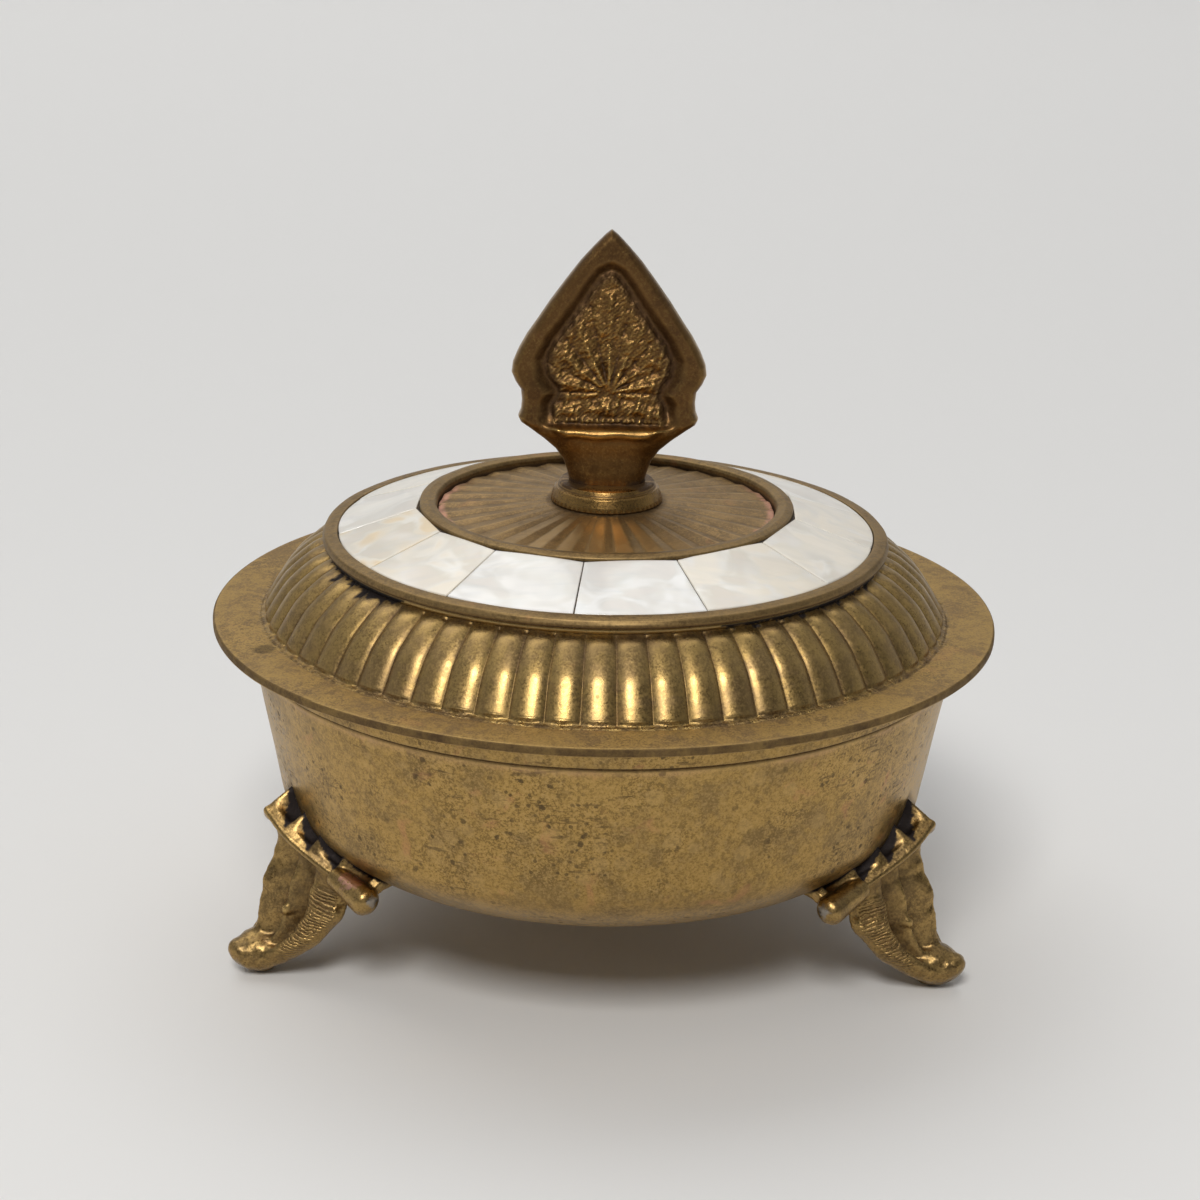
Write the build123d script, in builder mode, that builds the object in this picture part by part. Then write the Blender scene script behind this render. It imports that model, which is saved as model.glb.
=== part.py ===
from build123d import *
import math
import os

# A footed brass trinket box with a lift-off lid: a turned bowl on three cast feet, and a
# reeded lid that carries a ring of mother-of-pearl tiles, a sunburst disc and a cast finial.
# Millimetres, +Z up. The origin is on the box's axis, on the surface that the feet stand on,
# and the front of the box is towards -Y.

# Heights above the floor
bowl_mouth_z = 54.8
bowl_base_z = 18.8

# Bowl
bowl_mouth_radius = 59.3
bowl_wall_taper = 10.8
bowl_corner_radius = 11.0
bowl_base_angle = 33.0
bowl_base_inset = 13.3
bowl_wall = 1.7
lip_band_height = 4.4
lip_band_proud = 0.35

# Lid shell
rim_overhang = 5.7
rim_thickness = 1.4
reed_foot_inset = 2.7
reed_foot_rise = 0.5
reed_top_inset = 0.44
reed_top_rise = 11.4
shoulder_bulge = 1.5
reed_count = 64
reed_height = 0.75
reed_phase = 2.35
reed_stations = 5
shell_wall = 1.1
neck_height = 0.8
neck_wall = 0.55

# Ring under the lid that drops into the bowl's mouth
ring_depth = 4.0
ring_wall = 1.0
ring_clearance = 0.5

# Inlay tray: bezel, sloping tile well, inner ring and flat centre
bezel_flange = 0.5
bezel_width = 2.47
bezel_rise = 1.1
well_outer_radius = 44.37
well_inner_radius = 30.88
inner_ring_width = 2.9
inner_ring_proud = 0.35
inner_ring_crown = 0.28
tile_slope = 18.1
tray_wall = 1.1
tray_seat_clearance = 0.1
disc_recess = 1.3

# Mother-of-pearl tiles, each hand cut: the angle that each takes, anticlockwise from above
first_joint_angle = -198.2
tile_angles = (26.4, 24.5, 23.9, 27.4, 27.0, 31.6, 26.7, 24.8, 25.2, 23.8, 25.6, 24.1, 25.3, 23.7)
tile_thickness = 1.3
tile_joint = 0.25
tile_edge_gap = 0.12
cement_thickness = 0.5

# Sunburst disc
disc_clearance = 0.2
disc_thickness = 1.1
disc_crown = 1.6
ray_count = 32
ray_depth = 0.45
ray_phase = 3.6
ray_start_gap = 0.6

# Finial collar
collar_radius = 9.3
collar_band_height = 2.1
collar_top_radius = 7.85
collar_height = 3.4
collar_chamfer = 0.6

# Finial: a flat cast spade on a flared neck, with a threaded shank below
neck_bottom_half_width = 5.8
neck_bottom_depth = 8.0
neck_waist_half_width = 7.6
neck_waist_depth = 7.0
neck_waist_rise = 3.3
ledge_half_width = 13.6
ledge_depth = 7.4
ledge_rise = 9.4
ledge_thickness = 1.6
notch_low_rise = 11.2
notch_low_half_width = 14.7
notch_half_width = 14.2
notch_rise = 14.0
ear_half_width = 16.0
ear_rise = 18.4
spade_shoulder_rise = 29.2
spade_shoulder_half_width = 10.4
finial_height = 41.8
plate_thickness = 5.2
plate_bevel = 0.9
panel_border = 4.4
panel_depth = 1.0
shank_radius = 2.9
shank_clearance = 0.12

# Washer and nut that hold the finial from inside the lid
washer_radius = 7.0
washer_thickness = 0.9
nut_across_flats = 10.0
nut_height = 4.6
shank_stand_out = 1.2

# Feet: three castings, each alike about its own middle plane
foot_angles = {"foot_front_right": -24.0, "foot_back": 90.0, "foot_front_left": 204.0}
crest_contact_z = 32.2
crest_contact_drop = 6.0
crest_contact_end_drop = 11.2
crest_stand_out = 5.0
crest_mid_stand_out = 0.4
crest_end_stand_out = -5.6
crest_mid_half_width = 9.6
crest_half_width = 19.0
rail_radius = 1.5
rail_top_drop = 3.1
rail_mid_drop = 8.9
rail_end_drop = 12.8
rail_sides = 8
knob_radius = 2.6
knob_length = 5.0
knob_chamfer = 1.0
web_thickness = 4.2
scoop_radius = 1.9
scoop_pitch = 4.3
scoop_count = 4
scoop_lean = 119.0
toe_stand_out = 7.2
toe_radius = 4.2
sole_flat = 0.35
toe_profile_angles = (-80, -50, -20, 10, 40, 80)

# Leaf of the leg at six heights: height, how much of the way from the waist out to the toe
# its midrib stands, half width, how far the edges are swept back, and depth front to back
leg_toe = (2.4, 1.0, 4.4, 1.6, 5.4)
leg_instep = (6.4, 0.85, 8.6, 5.4, 6.8)
leg_lobes = (12.7, 0.35, 12.0, 8.0, 6.6)
leg_shin = (17.5, 0.14, 9.8, 5.6, 6.4)
leg_waist = (21.4, 0.0, 7.6, 3.6, 6.6)
leg_head = (26.4, 0.08, 8.4, 4.0, 7.0)
waist_stand_out = 2.7
leg_groove_depth = 1.5
leg_groove_share = 0.27
leg_rib_drop = 0.3
leg_rib_share = 0.52
leg_back_share = 0.86

# Values that follow from those above
bowl_base_radius = bowl_mouth_radius - bowl_base_inset
rim_radius = bowl_mouth_radius + rim_overhang
reed_foot_radius = bowl_mouth_radius - reed_foot_inset
bezel_radius = well_outer_radius + bezel_width
reed_top_radius = bezel_radius - reed_top_inset
rim_top_z = bowl_mouth_z + rim_thickness
reed_foot_z = rim_top_z + reed_foot_rise
reed_top_z = rim_top_z + reed_top_rise
shell_top_z = reed_top_z + neck_height
taper_run = math.tan(math.radians(bowl_wall_taper))
base_slope = math.tan(math.radians(bowl_base_angle))
slope_rise = math.tan(math.radians(tile_slope))
slope_cos = math.cos(math.radians(tile_slope))
bezel_top_z = shell_top_z + bezel_flange + bezel_rise
tile_outer_z = bezel_top_z
ring_lip_radius = well_inner_radius - inner_ring_width
ring_lip_z = tile_outer_z + (well_outer_radius - well_inner_radius) * slope_rise + inner_ring_proud
disc_edge_z = ring_lip_z - disc_recess
disc_floor_z = disc_edge_z - disc_thickness
disc_top_z = disc_edge_z + disc_crown
tray_under_z = disc_floor_z - tray_wall
well_depth = (tile_thickness + cement_thickness) / slope_cos
hole_radius = shank_radius + shank_clearance
collar_top_z = disc_top_z + collar_height
washer_bottom_z = tray_under_z - washer_thickness
nut_bottom_z = washer_bottom_z - nut_height
shank_bottom_z = nut_bottom_z - shank_stand_out
foot_root = bowl_mouth_radius - (bowl_mouth_z - crest_contact_z) * taper_run
crest_reach = foot_root + crest_stand_out
toe_reach = foot_root + toe_stand_out

os.makedirs("parts", exist_ok=True)


def wall_radius(z):
    """Outer radius of the bowl's straight wall at height z."""
    return bowl_mouth_radius - (bowl_mouth_z - z) * taper_run


def bowl_corner(inset):
    """Where the wall's line and the base cone's line cross, both set in by a distance."""
    base = bowl_base_radius - inset / math.sin(math.radians(bowl_base_angle))
    wall = bowl_mouth_radius - inset / math.cos(math.radians(bowl_wall_taper))
    rise = (wall - bowl_mouth_z * taper_run - base + bowl_base_z * taper_run)
    z = bowl_base_z + rise / (1 / base_slope - taper_run)
    return wall - (bowl_mouth_z - z) * taper_run, z


def bowl_outline(inset, floor_z, corner_radius):
    """Half section of the bowl's outer or inner surface, closed along the axis."""
    top_radius = bowl_mouth_radius - inset / math.cos(math.radians(bowl_wall_taper))
    corner_r, corner_z = bowl_corner(inset)
    base_r = corner_r - (corner_z - floor_z) / base_slope
    with BuildSketch(Plane.XZ) as outline:
        with BuildLine():
            FilletPolyline(
                (top_radius, bowl_mouth_z),
                (corner_r, corner_z),
                (base_r, floor_z),
                radius=corner_radius,
            )
            Polyline((base_r, floor_z), (0, floor_z), (0, bowl_mouth_z), (top_radius, bowl_mouth_z))
        make_face()
    return outline.sketch


def shoulder_point(share):
    """A point of the shoulder's arc, from the reeds' foot (0) to their top (1): radius, z."""
    run = reed_foot_radius - reed_top_radius
    rise = reed_top_z - reed_foot_z
    chord = math.hypot(run, rise)
    bend = 4 * shoulder_bulge * share * (1 - share)
    radius = reed_foot_radius - run * share + bend * rise / chord
    return radius, reed_foot_z + rise * share + bend * run / chord


def reeded_ring(share):
    """Horizontal section through all the reeds: one outward arc for each reed."""
    radius, z = shoulder_point(share)
    pitch = 360 / reed_count
    with BuildSketch(Plane.XY.offset(z)) as ring:
        with BuildLine():
            for reed in range(reed_count):
                start = Vector(radius - reed_height, 0).rotate(Axis.Z, reed_phase + reed * pitch)
                crest = Vector(radius, 0).rotate(Axis.Z, reed_phase + (reed + 0.5) * pitch)
                end = Vector(radius - reed_height, 0).rotate(Axis.Z, reed_phase + (reed + 1) * pitch)
                ThreePointArc(start, crest, end)
        make_face()
    return ring.sketch


# Bowl: turned and hollow, with a plain band below the mouth
with BuildPart() as bowl_outside:
    revolve(bowl_outline(0, bowl_base_z, bowl_corner_radius), axis=Axis.Z)

with BuildPart() as bowl:
    add(bowl_outside.part)
    with BuildSketch(Plane.XZ):
        band_top = bowl_mouth_radius + lip_band_proud
        band_low = wall_radius(bowl_mouth_z - lip_band_height)
        with BuildLine():
            Polyline(
                (band_low - bowl_wall / 2, bowl_mouth_z),
                (band_top, bowl_mouth_z),
                (band_low + lip_band_proud, bowl_mouth_z - lip_band_height),
                (band_low - bowl_wall / 2, bowl_mouth_z - lip_band_height),
                close=True,
            )
        make_face()
    revolve(axis=Axis.Z)
    inside = bowl_outline(bowl_wall, bowl_base_z + bowl_wall, bowl_corner_radius - bowl_wall)
    revolve(inside, axis=Axis.Z, mode=Mode.SUBTRACT)
bowl.part.label = "bowl"
export_step(bowl.part, "parts/bowl.step")


# Foot, in its own middle plane: X runs outwards from the box's axis, Y across the foot
rail_points = (
    (foot_root + crest_end_stand_out, -crest_half_width, crest_contact_z - rail_end_drop),
    (foot_root + crest_mid_stand_out, -crest_mid_half_width, crest_contact_z - rail_mid_drop),
    (crest_reach - rail_radius, 0, crest_contact_z - rail_top_drop - rail_radius),
    (foot_root + crest_mid_stand_out, crest_mid_half_width, crest_contact_z - rail_mid_drop),
    (foot_root + crest_end_stand_out, crest_half_width, crest_contact_z - rail_end_drop),
)


def web_section(side, reach, rail_z, contact_z):
    """Section of the web between the bowl and the rail, at a distance to one side."""
    inner = math.sqrt(max(wall_radius(contact_z) ** 2 - side ** 2, 1)) - bowl_wall * 2
    with BuildSketch(Plane.XZ.offset(-side)) as section:
        with BuildLine():
            Polyline(
                (inner, contact_z + bowl_wall),
                (reach, rail_z + rail_radius / 2),
                (reach, rail_z - rail_radius),
                (inner, contact_z - web_thickness),
                close=True,
            )
        make_face()
    return section.sketch


def leg_section(station):
    """Section of the leaf: a midrib in front, a groove and a rib each side, edges swept back."""
    z, share, half_width, edge_sweep, depth = station
    front = foot_root + waist_stand_out + share * (toe_reach + toe_radius / 2 - foot_root - waist_stand_out)
    groove = half_width * leg_groove_share
    rib = half_width * leg_rib_share
    rib_front = front - edge_sweep / 4 - leg_rib_drop
    back = front - edge_sweep - 0.45 * depth
    back_half_width = half_width * leg_back_share
    with BuildSketch(Plane.XY.offset(z)) as section:
        with BuildLine():
            Polyline(
                (front, 0),
                (front - leg_groove_depth, groove),
                (rib_front, rib),
                (front - edge_sweep, half_width),
                (back, back_half_width),
                (front - depth, 0),
                (back, -back_half_width),
                (front - edge_sweep, -half_width),
                (rib_front, -rib),
                (front - leg_groove_depth, -groove),
                close=True,
            )
        make_face()
    return section.sketch


# Toe: a turned bun, cut flat where it stands
with BuildPart() as toe:
    with BuildSketch(Plane.XZ):
        turns = [math.radians(angle) for angle in toe_profile_angles]
        centre_z = toe_radius - sole_flat
        with BuildLine():
            rim = Polyline(*[(toe_radius * math.cos(t), centre_z + toe_radius * math.sin(t)) for t in turns])
            Polyline(rim @ 1, (0, centre_z + toe_radius), (0, centre_z - toe_radius), rim @ 0)
        make_face()
    revolve(axis=Axis.Z)
    split(bisect_by=Plane.XY, keep=Keep.TOP)

# Bar end of the rail
with BuildPart() as bar_end:
    Cylinder(knob_radius, knob_length)
    chamfer(bar_end.edges().filter_by(GeomType.CIRCLE), length=knob_chamfer)

with BuildPart() as foot:
    # Leaf-shaped leg, from under the crest down to the toe
    leg_stations = (leg_toe, leg_instep, leg_lobes, leg_shin, leg_waist, leg_head)
    loft([leg_section(station) for station in leg_stations])
    # Web between the bowl and the rail
    end_contact = crest_contact_z - crest_contact_end_drop
    mid_contact = crest_contact_z - crest_contact_drop
    for side in (-1, 1):
        loft(
            [
                web_section(0, rail_points[2][0], rail_points[2][2], crest_contact_z),
                web_section(side * crest_mid_half_width, rail_points[1][0], rail_points[1][2], mid_contact),
                web_section(side * crest_half_width, rail_points[0][0], rail_points[0][2], end_contact),
            ],
            ruled=True,
        )
    # Scoops, cut square to the bowl
    for side in (-1, 1):
        for scoop in range(scoop_count):
            across = side * scoop_pitch * (scoop + 0.5)
            top = crest_contact_z - abs(across) * crest_contact_drop / crest_mid_half_width
            scoop_length = 2 * (crest_reach - wall_radius(top) - 2 * rail_radius)
            with Locations(Location((wall_radius(top), across, top), (0, scoop_lean, 0))):
                Cylinder(scoop_radius, scoop_length, mode=Mode.SUBTRACT)
    # Rail, from its peak down each side, and the bar end that closes it
    for rail_half in (rail_points[:3], rail_points[:-4:-1]):
        with BuildLine() as rail_line:
            ThreePointArc(*rail_half)
        with BuildSketch(Plane(rail_line.line @ 0, z_dir=rail_line.line % 0)):
            RegularPolygon(radius=rail_radius, side_count=rail_sides, major_radius=False)
        sweep()
        with Locations(Plane(rail_line.line @ 0, z_dir=(rail_half[0][0], rail_half[0][1], 0))):
            add(bar_end.part)
    # Toe, with a small flat sole
    with Locations((toe_reach, 0, 0)):
        add(toe.part)
    add(bowl_outside.part, mode=Mode.SUBTRACT)

for foot_name, foot_angle in foot_angles.items():
    with BuildPart() as placed_foot:
        add(foot.part, rotation=(0, 0, foot_angle))
    placed_foot.part.label = foot_name
    export_step(placed_foot.part, f"parts/{foot_name}.step")


# Lid shell: flat rim, reeded shoulder and plain neck, hollow from below
with BuildPart() as lid_shell:
    loft([reeded_ring(station / (reed_stations - 1)) for station in range(reed_stations)])
    with BuildSketch(Plane.XZ):
        with BuildLine():
            Polyline(
                (0, bowl_mouth_z),
                (rim_radius, bowl_mouth_z),
                (rim_radius, rim_top_z),
                (reed_foot_radius, rim_top_z),
                (reed_foot_radius - reed_height, reed_foot_z),
                (0, reed_foot_z),
                close=True,
            )
        make_face()
    revolve(axis=Axis.Z)
    neck_radius = well_outer_radius + tray_wall + tray_seat_clearance + neck_wall
    with BuildSketch(Plane.XY.offset(reed_top_z)):
        Circle(neck_radius)
    extrude(amount=neck_height)
    inner_foot_radius = reed_foot_radius - reed_height - shell_wall
    inner_top_radius = well_outer_radius + tray_wall + tray_seat_clearance
    with BuildSketch(Plane.XZ):
        with BuildLine():
            inner_arc = SagittaArc(
                (inner_foot_radius, bowl_mouth_z + shell_wall),
                (inner_top_radius, reed_top_z - 2 * shell_wall),
                -shoulder_bulge / 2,
            )
            Polyline(
                inner_arc @ 1,
                (inner_top_radius, shell_top_z),
                (0, shell_top_z),
                (0, bowl_mouth_z),
                (inner_foot_radius, bowl_mouth_z),
                inner_arc @ 0,
            )
        make_face()
    revolve(axis=Axis.Z, mode=Mode.SUBTRACT)
lid_shell.part.label = "lid_shell"
export_step(lid_shell.part, "parts/lid_shell.step")


# Locating ring, soldered under the rim, that keeps the lid central on the bowl
with BuildPart() as locating_ring:
    mouth_clear = wall_radius(bowl_mouth_z - ring_depth) - bowl_wall / math.cos(math.radians(bowl_wall_taper))
    ring_radius = mouth_clear - ring_clearance
    with BuildSketch(Plane.XY.offset(bowl_mouth_z - ring_depth)):
        Circle(ring_radius)
        Circle(ring_radius - ring_wall, mode=Mode.SUBTRACT)
    extrude(amount=ring_depth)
    chamfer(locating_ring.edges().group_by(Axis.Z)[0].sort_by(SortBy.RADIUS)[-1:], length=ring_wall / 2)
locating_ring.part.label = "locating_ring"
export_step(locating_ring.part, "parts/locating_ring.step")


def slope_z(radius):
    """Height of the tiles' top face at a radius."""
    return tile_outer_z + (well_outer_radius - radius) * slope_rise


# Inlay tray: bezel round the outside, sloping well for the tiles, bead inside it, flat centre
with BuildPart() as inlay_tray:
    with BuildSketch(Plane.XZ):
        seat_radius = well_outer_radius + tray_wall
        flange_top_z = shell_top_z + bezel_flange
        with BuildLine():
            bezel_bead = ThreePointArc(
                (bezel_radius, flange_top_z),
                (bezel_radius - 0.35 * bezel_width, flange_top_z + 0.72 * bezel_rise),
                (well_outer_radius, bezel_top_z),
            )
            Polyline(
                bezel_bead @ 1,
                (well_outer_radius, slope_z(well_outer_radius) - well_depth),
                (well_inner_radius, slope_z(well_inner_radius) - well_depth),
                (well_inner_radius, slope_z(well_inner_radius)),
            )
            ring_bead = ThreePointArc(
                (well_inner_radius, slope_z(well_inner_radius)),
                (well_inner_radius - inner_ring_width / 2, ring_lip_z + inner_ring_crown),
                (ring_lip_radius, ring_lip_z - inner_ring_crown),
            )
            Polyline(
                ring_bead @ 1,
                (ring_lip_radius, disc_floor_z),
                (hole_radius, disc_floor_z),
                (hole_radius, tray_under_z),
                (ring_lip_radius + tray_wall / 2, tray_under_z),
                (well_inner_radius + tray_wall, slope_z(well_inner_radius) - well_depth - 1.6 * tray_wall),
                (seat_radius, slope_z(well_outer_radius) - well_depth - tray_wall),
                (seat_radius, shell_top_z),
                (bezel_radius - bezel_flange / 2, shell_top_z),
                bezel_bead @ 0,
            )
        make_face()
    revolve(axis=Axis.Z)
inlay_tray.part.label = "inlay_tray"
export_step(inlay_tray.part, "parts/inlay_tray.step")


# Cement bed under the tiles
with BuildPart() as inlay_cement:
    with BuildSketch(Plane.XZ):
        bed_outer = well_outer_radius - tile_edge_gap / 2
        bed_inner = well_inner_radius + tile_edge_gap / 2
        bed_rise = cement_thickness / slope_cos
        with BuildLine():
            Polyline(
                (bed_outer, slope_z(bed_outer) - well_depth),
                (bed_outer, slope_z(bed_outer) - well_depth + bed_rise),
                (bed_inner, slope_z(bed_inner) - well_depth + bed_rise),
                (bed_inner, slope_z(bed_inner) - well_depth),
                close=True,
            )
        make_face()
    revolve(axis=Axis.Z)
inlay_cement.part.label = "inlay_cement"
export_step(inlay_cement.part, "parts/inlay_cement.step")


# Tiles: each is a flat-edged sector that lies in the sloping well
joint_angle = first_joint_angle
for tile_number, tile_angle in enumerate(tile_angles, start=1):
    half_joint = math.degrees(tile_joint / (well_inner_radius + well_outer_radius))
    with BuildPart() as pearl_tile:
        with BuildSketch(Plane.XZ):
            tile_outer = well_outer_radius - tile_edge_gap
            tile_inner = well_inner_radius + tile_edge_gap
            tile_drop = tile_thickness / slope_cos
            with BuildLine():
                Polyline(
                    (tile_outer, slope_z(tile_outer)),
                    (tile_inner, slope_z(tile_inner)),
                    (tile_inner, slope_z(tile_inner) - tile_drop),
                    (tile_outer, slope_z(tile_outer) - tile_drop),
                    close=True,
                )
            make_face()
        revolve(axis=Axis.Z, revolution_arc=tile_angle - 2 * half_joint)
    with BuildPart() as placed_tile:
        add(pearl_tile.part, rotation=(0, 0, joint_angle + half_joint))
    joint_angle += tile_angle
    tile_name = f"pearl_tile_{tile_number:02d}"
    placed_tile.part.label = tile_name
    export_step(placed_tile.part, f"parts/{tile_name}.step")


# Sunburst disc: crowned sheet, pressed with a V groove for each ray, out to its edge
disc_radius = ring_lip_radius - disc_clearance
ray_start = collar_radius + ray_start_gap


def ray_section(radius):
    """Section of one ray's groove at a radius: a V that is as wide as the rays' pitch allows."""
    fall = (disc_top_z - disc_edge_z) * (radius - ray_start) / (disc_radius - ray_start)
    surface_z = disc_top_z - fall
    half_width = 0.45 * 2 * math.pi / ray_count * radius
    depth = ray_depth * radius / disc_radius
    with BuildSketch(Plane.YZ.offset(radius)) as section:
        with BuildLine():
            Polyline(
                (-2 * half_width, surface_z + depth),
                (0, surface_z - depth),
                (2 * half_width, surface_z + depth),
                close=True,
            )
        make_face()
    return section.sketch


with BuildPart() as ray_groove:
    loft([ray_section(ray_start + disc_clearance), ray_section(disc_radius + disc_clearance)], ruled=True)

with BuildPart() as sunburst_disc:
    with BuildSketch(Plane.XZ):
        with BuildLine():
            Polyline(
                (hole_radius, disc_top_z),
                (ray_start, disc_top_z),
                (disc_radius, disc_edge_z),
                (disc_radius, disc_floor_z),
                (disc_radius - disc_thickness, disc_floor_z),
                (ray_start, disc_top_z - disc_thickness),
                (hole_radius, disc_top_z - disc_thickness),
                close=True,
            )
        make_face()
    revolve(axis=Axis.Z)
    with PolarLocations(0, ray_count, start_angle=ray_phase):
        add(ray_groove.part, mode=Mode.SUBTRACT)
sunburst_disc.part.label = "sunburst_disc"
export_step(sunburst_disc.part, "parts/sunburst_disc.step")


# Finial collar: a turned ring with a plain band, a chamfer and a smaller top
with BuildPart() as finial_collar:
    with BuildSketch(Plane.XZ):
        band_top_z = disc_top_z + collar_band_height
        with BuildLine():
            Polyline(
                (hole_radius, disc_top_z),
                (collar_radius, disc_top_z),
                (collar_radius, band_top_z),
                (collar_radius - collar_chamfer, band_top_z + collar_chamfer),
                (collar_top_radius, band_top_z + collar_chamfer),
                (collar_top_radius, collar_top_z),
                (hole_radius, collar_top_z),
                close=True,
            )
        make_face()
    revolve(axis=Axis.Z)
finial_collar.part.label = "finial_collar"
export_step(finial_collar.part, "parts/finial_collar.step")


def neck_section(rise, half_width, depth):
    """Rounded section of the finial's neck at a height above the collar."""
    with BuildSketch(Plane.XY.offset(collar_top_z + rise)) as section:
        RectangleRounded(2 * half_width, depth, depth * 0.42)
    return section.sketch


def spade_outline(plane, inset=0):
    """Outline of the finial's plate on a plane, or of its sunk panel when it is set in."""
    low_z = collar_top_z + ledge_rise
    with BuildSketch(plane) as outline:
        with BuildLine():
            side = Polyline(
                (0, low_z),
                (ledge_half_width, low_z),
                (notch_low_half_width, collar_top_z + notch_low_rise),
                (notch_half_width, collar_top_z + notch_rise),
                (ear_half_width, collar_top_z + ear_rise),
            )
            ThreePointArc(
                side @ 1,
                (spade_shoulder_half_width, collar_top_z + spade_shoulder_rise),
                (0, collar_top_z + finial_height),
            )
            mirror(about=Plane.YZ)
        make_face()
        if inset:
            offset(amount=-inset, kind=Kind.INTERSECTION)
    return outline.sketch


# Finial's neck, the ledge that the plate stands on, and the shank below
with BuildPart() as finial_neck:
    loft(
        [
            neck_section(0, neck_bottom_half_width, neck_bottom_depth),
            neck_section(neck_waist_rise, neck_waist_half_width, neck_waist_depth),
            neck_section(ledge_rise, ledge_half_width, ledge_depth),
        ]
    )
    extrude(neck_section(ledge_rise, ledge_half_width, ledge_depth), amount=ledge_thickness)
    with BuildSketch(Plane.XY.offset(shank_bottom_z)):
        Circle(shank_radius)
    extrude(amount=collar_top_z + shank_radius / 2 - shank_bottom_z)

# Finial: flat plate with bevelled edges and a sunk panel on each face, on the neck
with BuildPart() as finial:
    extrude(spade_outline(Plane.XZ.offset(-plate_thickness / 2)), amount=plate_thickness)
    plate_edges = finial.edges().group_by(Axis.Y)
    chamfer(plate_edges[0] + plate_edges[-1], length=plate_bevel)
    for face in (-plate_thickness / 2, plate_thickness / 2):
        panel = spade_outline(Plane.XZ.offset(face), inset=panel_border)
        extrude(panel, amount=panel_depth, both=True, mode=Mode.SUBTRACT)
    add(finial_neck.part)
finial.part.label = "finial"
export_step(finial.part, "parts/finial.step")


# Washer and nut inside the lid
with BuildPart() as finial_washer:
    with BuildSketch(Plane.XY.offset(washer_bottom_z)):
        Circle(washer_radius)
        Circle(hole_radius, mode=Mode.SUBTRACT)
    extrude(amount=washer_thickness)
finial_washer.part.label = "finial_washer"
export_step(finial_washer.part, "parts/finial_washer.step")

with BuildPart() as finial_nut:
    with BuildSketch(Plane.XY.offset(nut_bottom_z)):
        RegularPolygon(radius=nut_across_flats / 2, side_count=6, major_radius=False)
        Circle(shank_radius + shank_clearance / 2, mode=Mode.SUBTRACT)
    extrude(amount=nut_height)
    nut_corners = finial_nut.edges().filter_by(GeomType.LINE).group_by(Axis.Z)
    chamfer(nut_corners[0] + nut_corners[-1], length=shank_clearance * 3)
finial_nut.part.label = "finial_nut"
export_step(finial_nut.part, "parts/finial_nut.step")
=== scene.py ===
import math

import bmesh
import bpy
import numpy as np
from bpy.props import FloatProperty, FloatVectorProperty, IntProperty, PointerProperty
from mathutils import Matrix, Vector


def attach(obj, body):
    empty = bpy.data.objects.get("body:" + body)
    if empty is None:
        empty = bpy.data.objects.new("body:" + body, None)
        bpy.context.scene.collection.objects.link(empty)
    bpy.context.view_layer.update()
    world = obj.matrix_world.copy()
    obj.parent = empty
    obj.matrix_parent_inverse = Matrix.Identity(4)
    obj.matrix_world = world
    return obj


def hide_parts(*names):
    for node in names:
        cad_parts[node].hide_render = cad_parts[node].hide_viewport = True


bl_info = {
    "name": "Footed trinket box",
    "version": (1, 0, 0),
    "blender": (4, 5, 0),
    "location": "View3D > Sidebar > Trinket Box",
    "description": "Dresses a footed brass trinket box with an inlaid, reeded lid",
    "category": "Object",
}

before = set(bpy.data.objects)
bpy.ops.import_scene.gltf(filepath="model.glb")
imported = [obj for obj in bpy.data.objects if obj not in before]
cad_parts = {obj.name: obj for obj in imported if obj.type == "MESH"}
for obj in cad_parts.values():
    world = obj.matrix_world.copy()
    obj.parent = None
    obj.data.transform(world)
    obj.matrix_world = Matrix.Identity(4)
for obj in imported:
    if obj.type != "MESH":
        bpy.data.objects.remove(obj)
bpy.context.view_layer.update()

# Everything below is worked out in millimetres, and turned into metres when a mesh is made.
RIM_TOP = 56.2
FEET = {"foot_front_right": -24.0, "foot_back": 90.0, "foot_front_left": 204.0}


def chosen():
    """The user's settings."""
    return bpy.context.scene.trinket_box


# Numbers on arrays

def smooth(low, high, x):
    """0 below low, 1 above high, and an even S curve between them."""
    t = np.clip((x - low) / (high - low), 0, 1)
    return t * t * (3 - 2 * t)


def swell(x, centre, reach):
    """A rounded hump: 1 at the centre, 0 at the reach and beyond."""
    return smooth(1, 0, np.abs(x - centre) / reach)


def along(stations, values, at):
    """Values at stations, read between them on a smooth curve through the points (Catmull-Rom)."""
    stations, values = np.asarray(stations, float), np.asarray(values, float)
    slope = np.gradient(values, stations)
    at = np.clip(at, stations[0], stations[-1])
    k = np.clip(np.searchsorted(stations, at, side="right") - 1, 0, len(stations) - 2)
    h = stations[k + 1] - stations[k]
    t = (at - stations[k]) / h
    return (
        values[k] * (1 + 2 * t) * (1 - t) ** 2 + slope[k] * h * t * (1 - t) ** 2
        + values[k + 1] * t * t * (3 - 2 * t) + slope[k + 1] * h * t * t * (t - 1)
    )


def cast_skin(points, grain, seed, octaves=3):
    """Uneven cast surface: plane waves in random directions, each octave half as long and half as high."""
    rng = np.random.default_rng(seed)
    total = np.zeros(points.shape[:-1])
    for octave in range(octaves):
        waves = rng.normal(size=(7, 3)) * 2 * math.pi / (grain / 2 ** octave) / 1.7
        shifts = rng.uniform(0, 2 * math.pi, 7)
        total += np.sin(points @ waves.T + shifts).sum(-1) / 7 * 1.6 / 2 ** octave
    return total


def polar(radius, angle, z):
    """Points at a radius, an angle from +X in degrees and a height."""
    turn = np.radians(angle)
    radius, turn, z = np.broadcast_arrays(radius, turn, z)
    return np.stack([radius * np.cos(turn), radius * np.sin(turn), z], -1)


# Meshes

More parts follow.
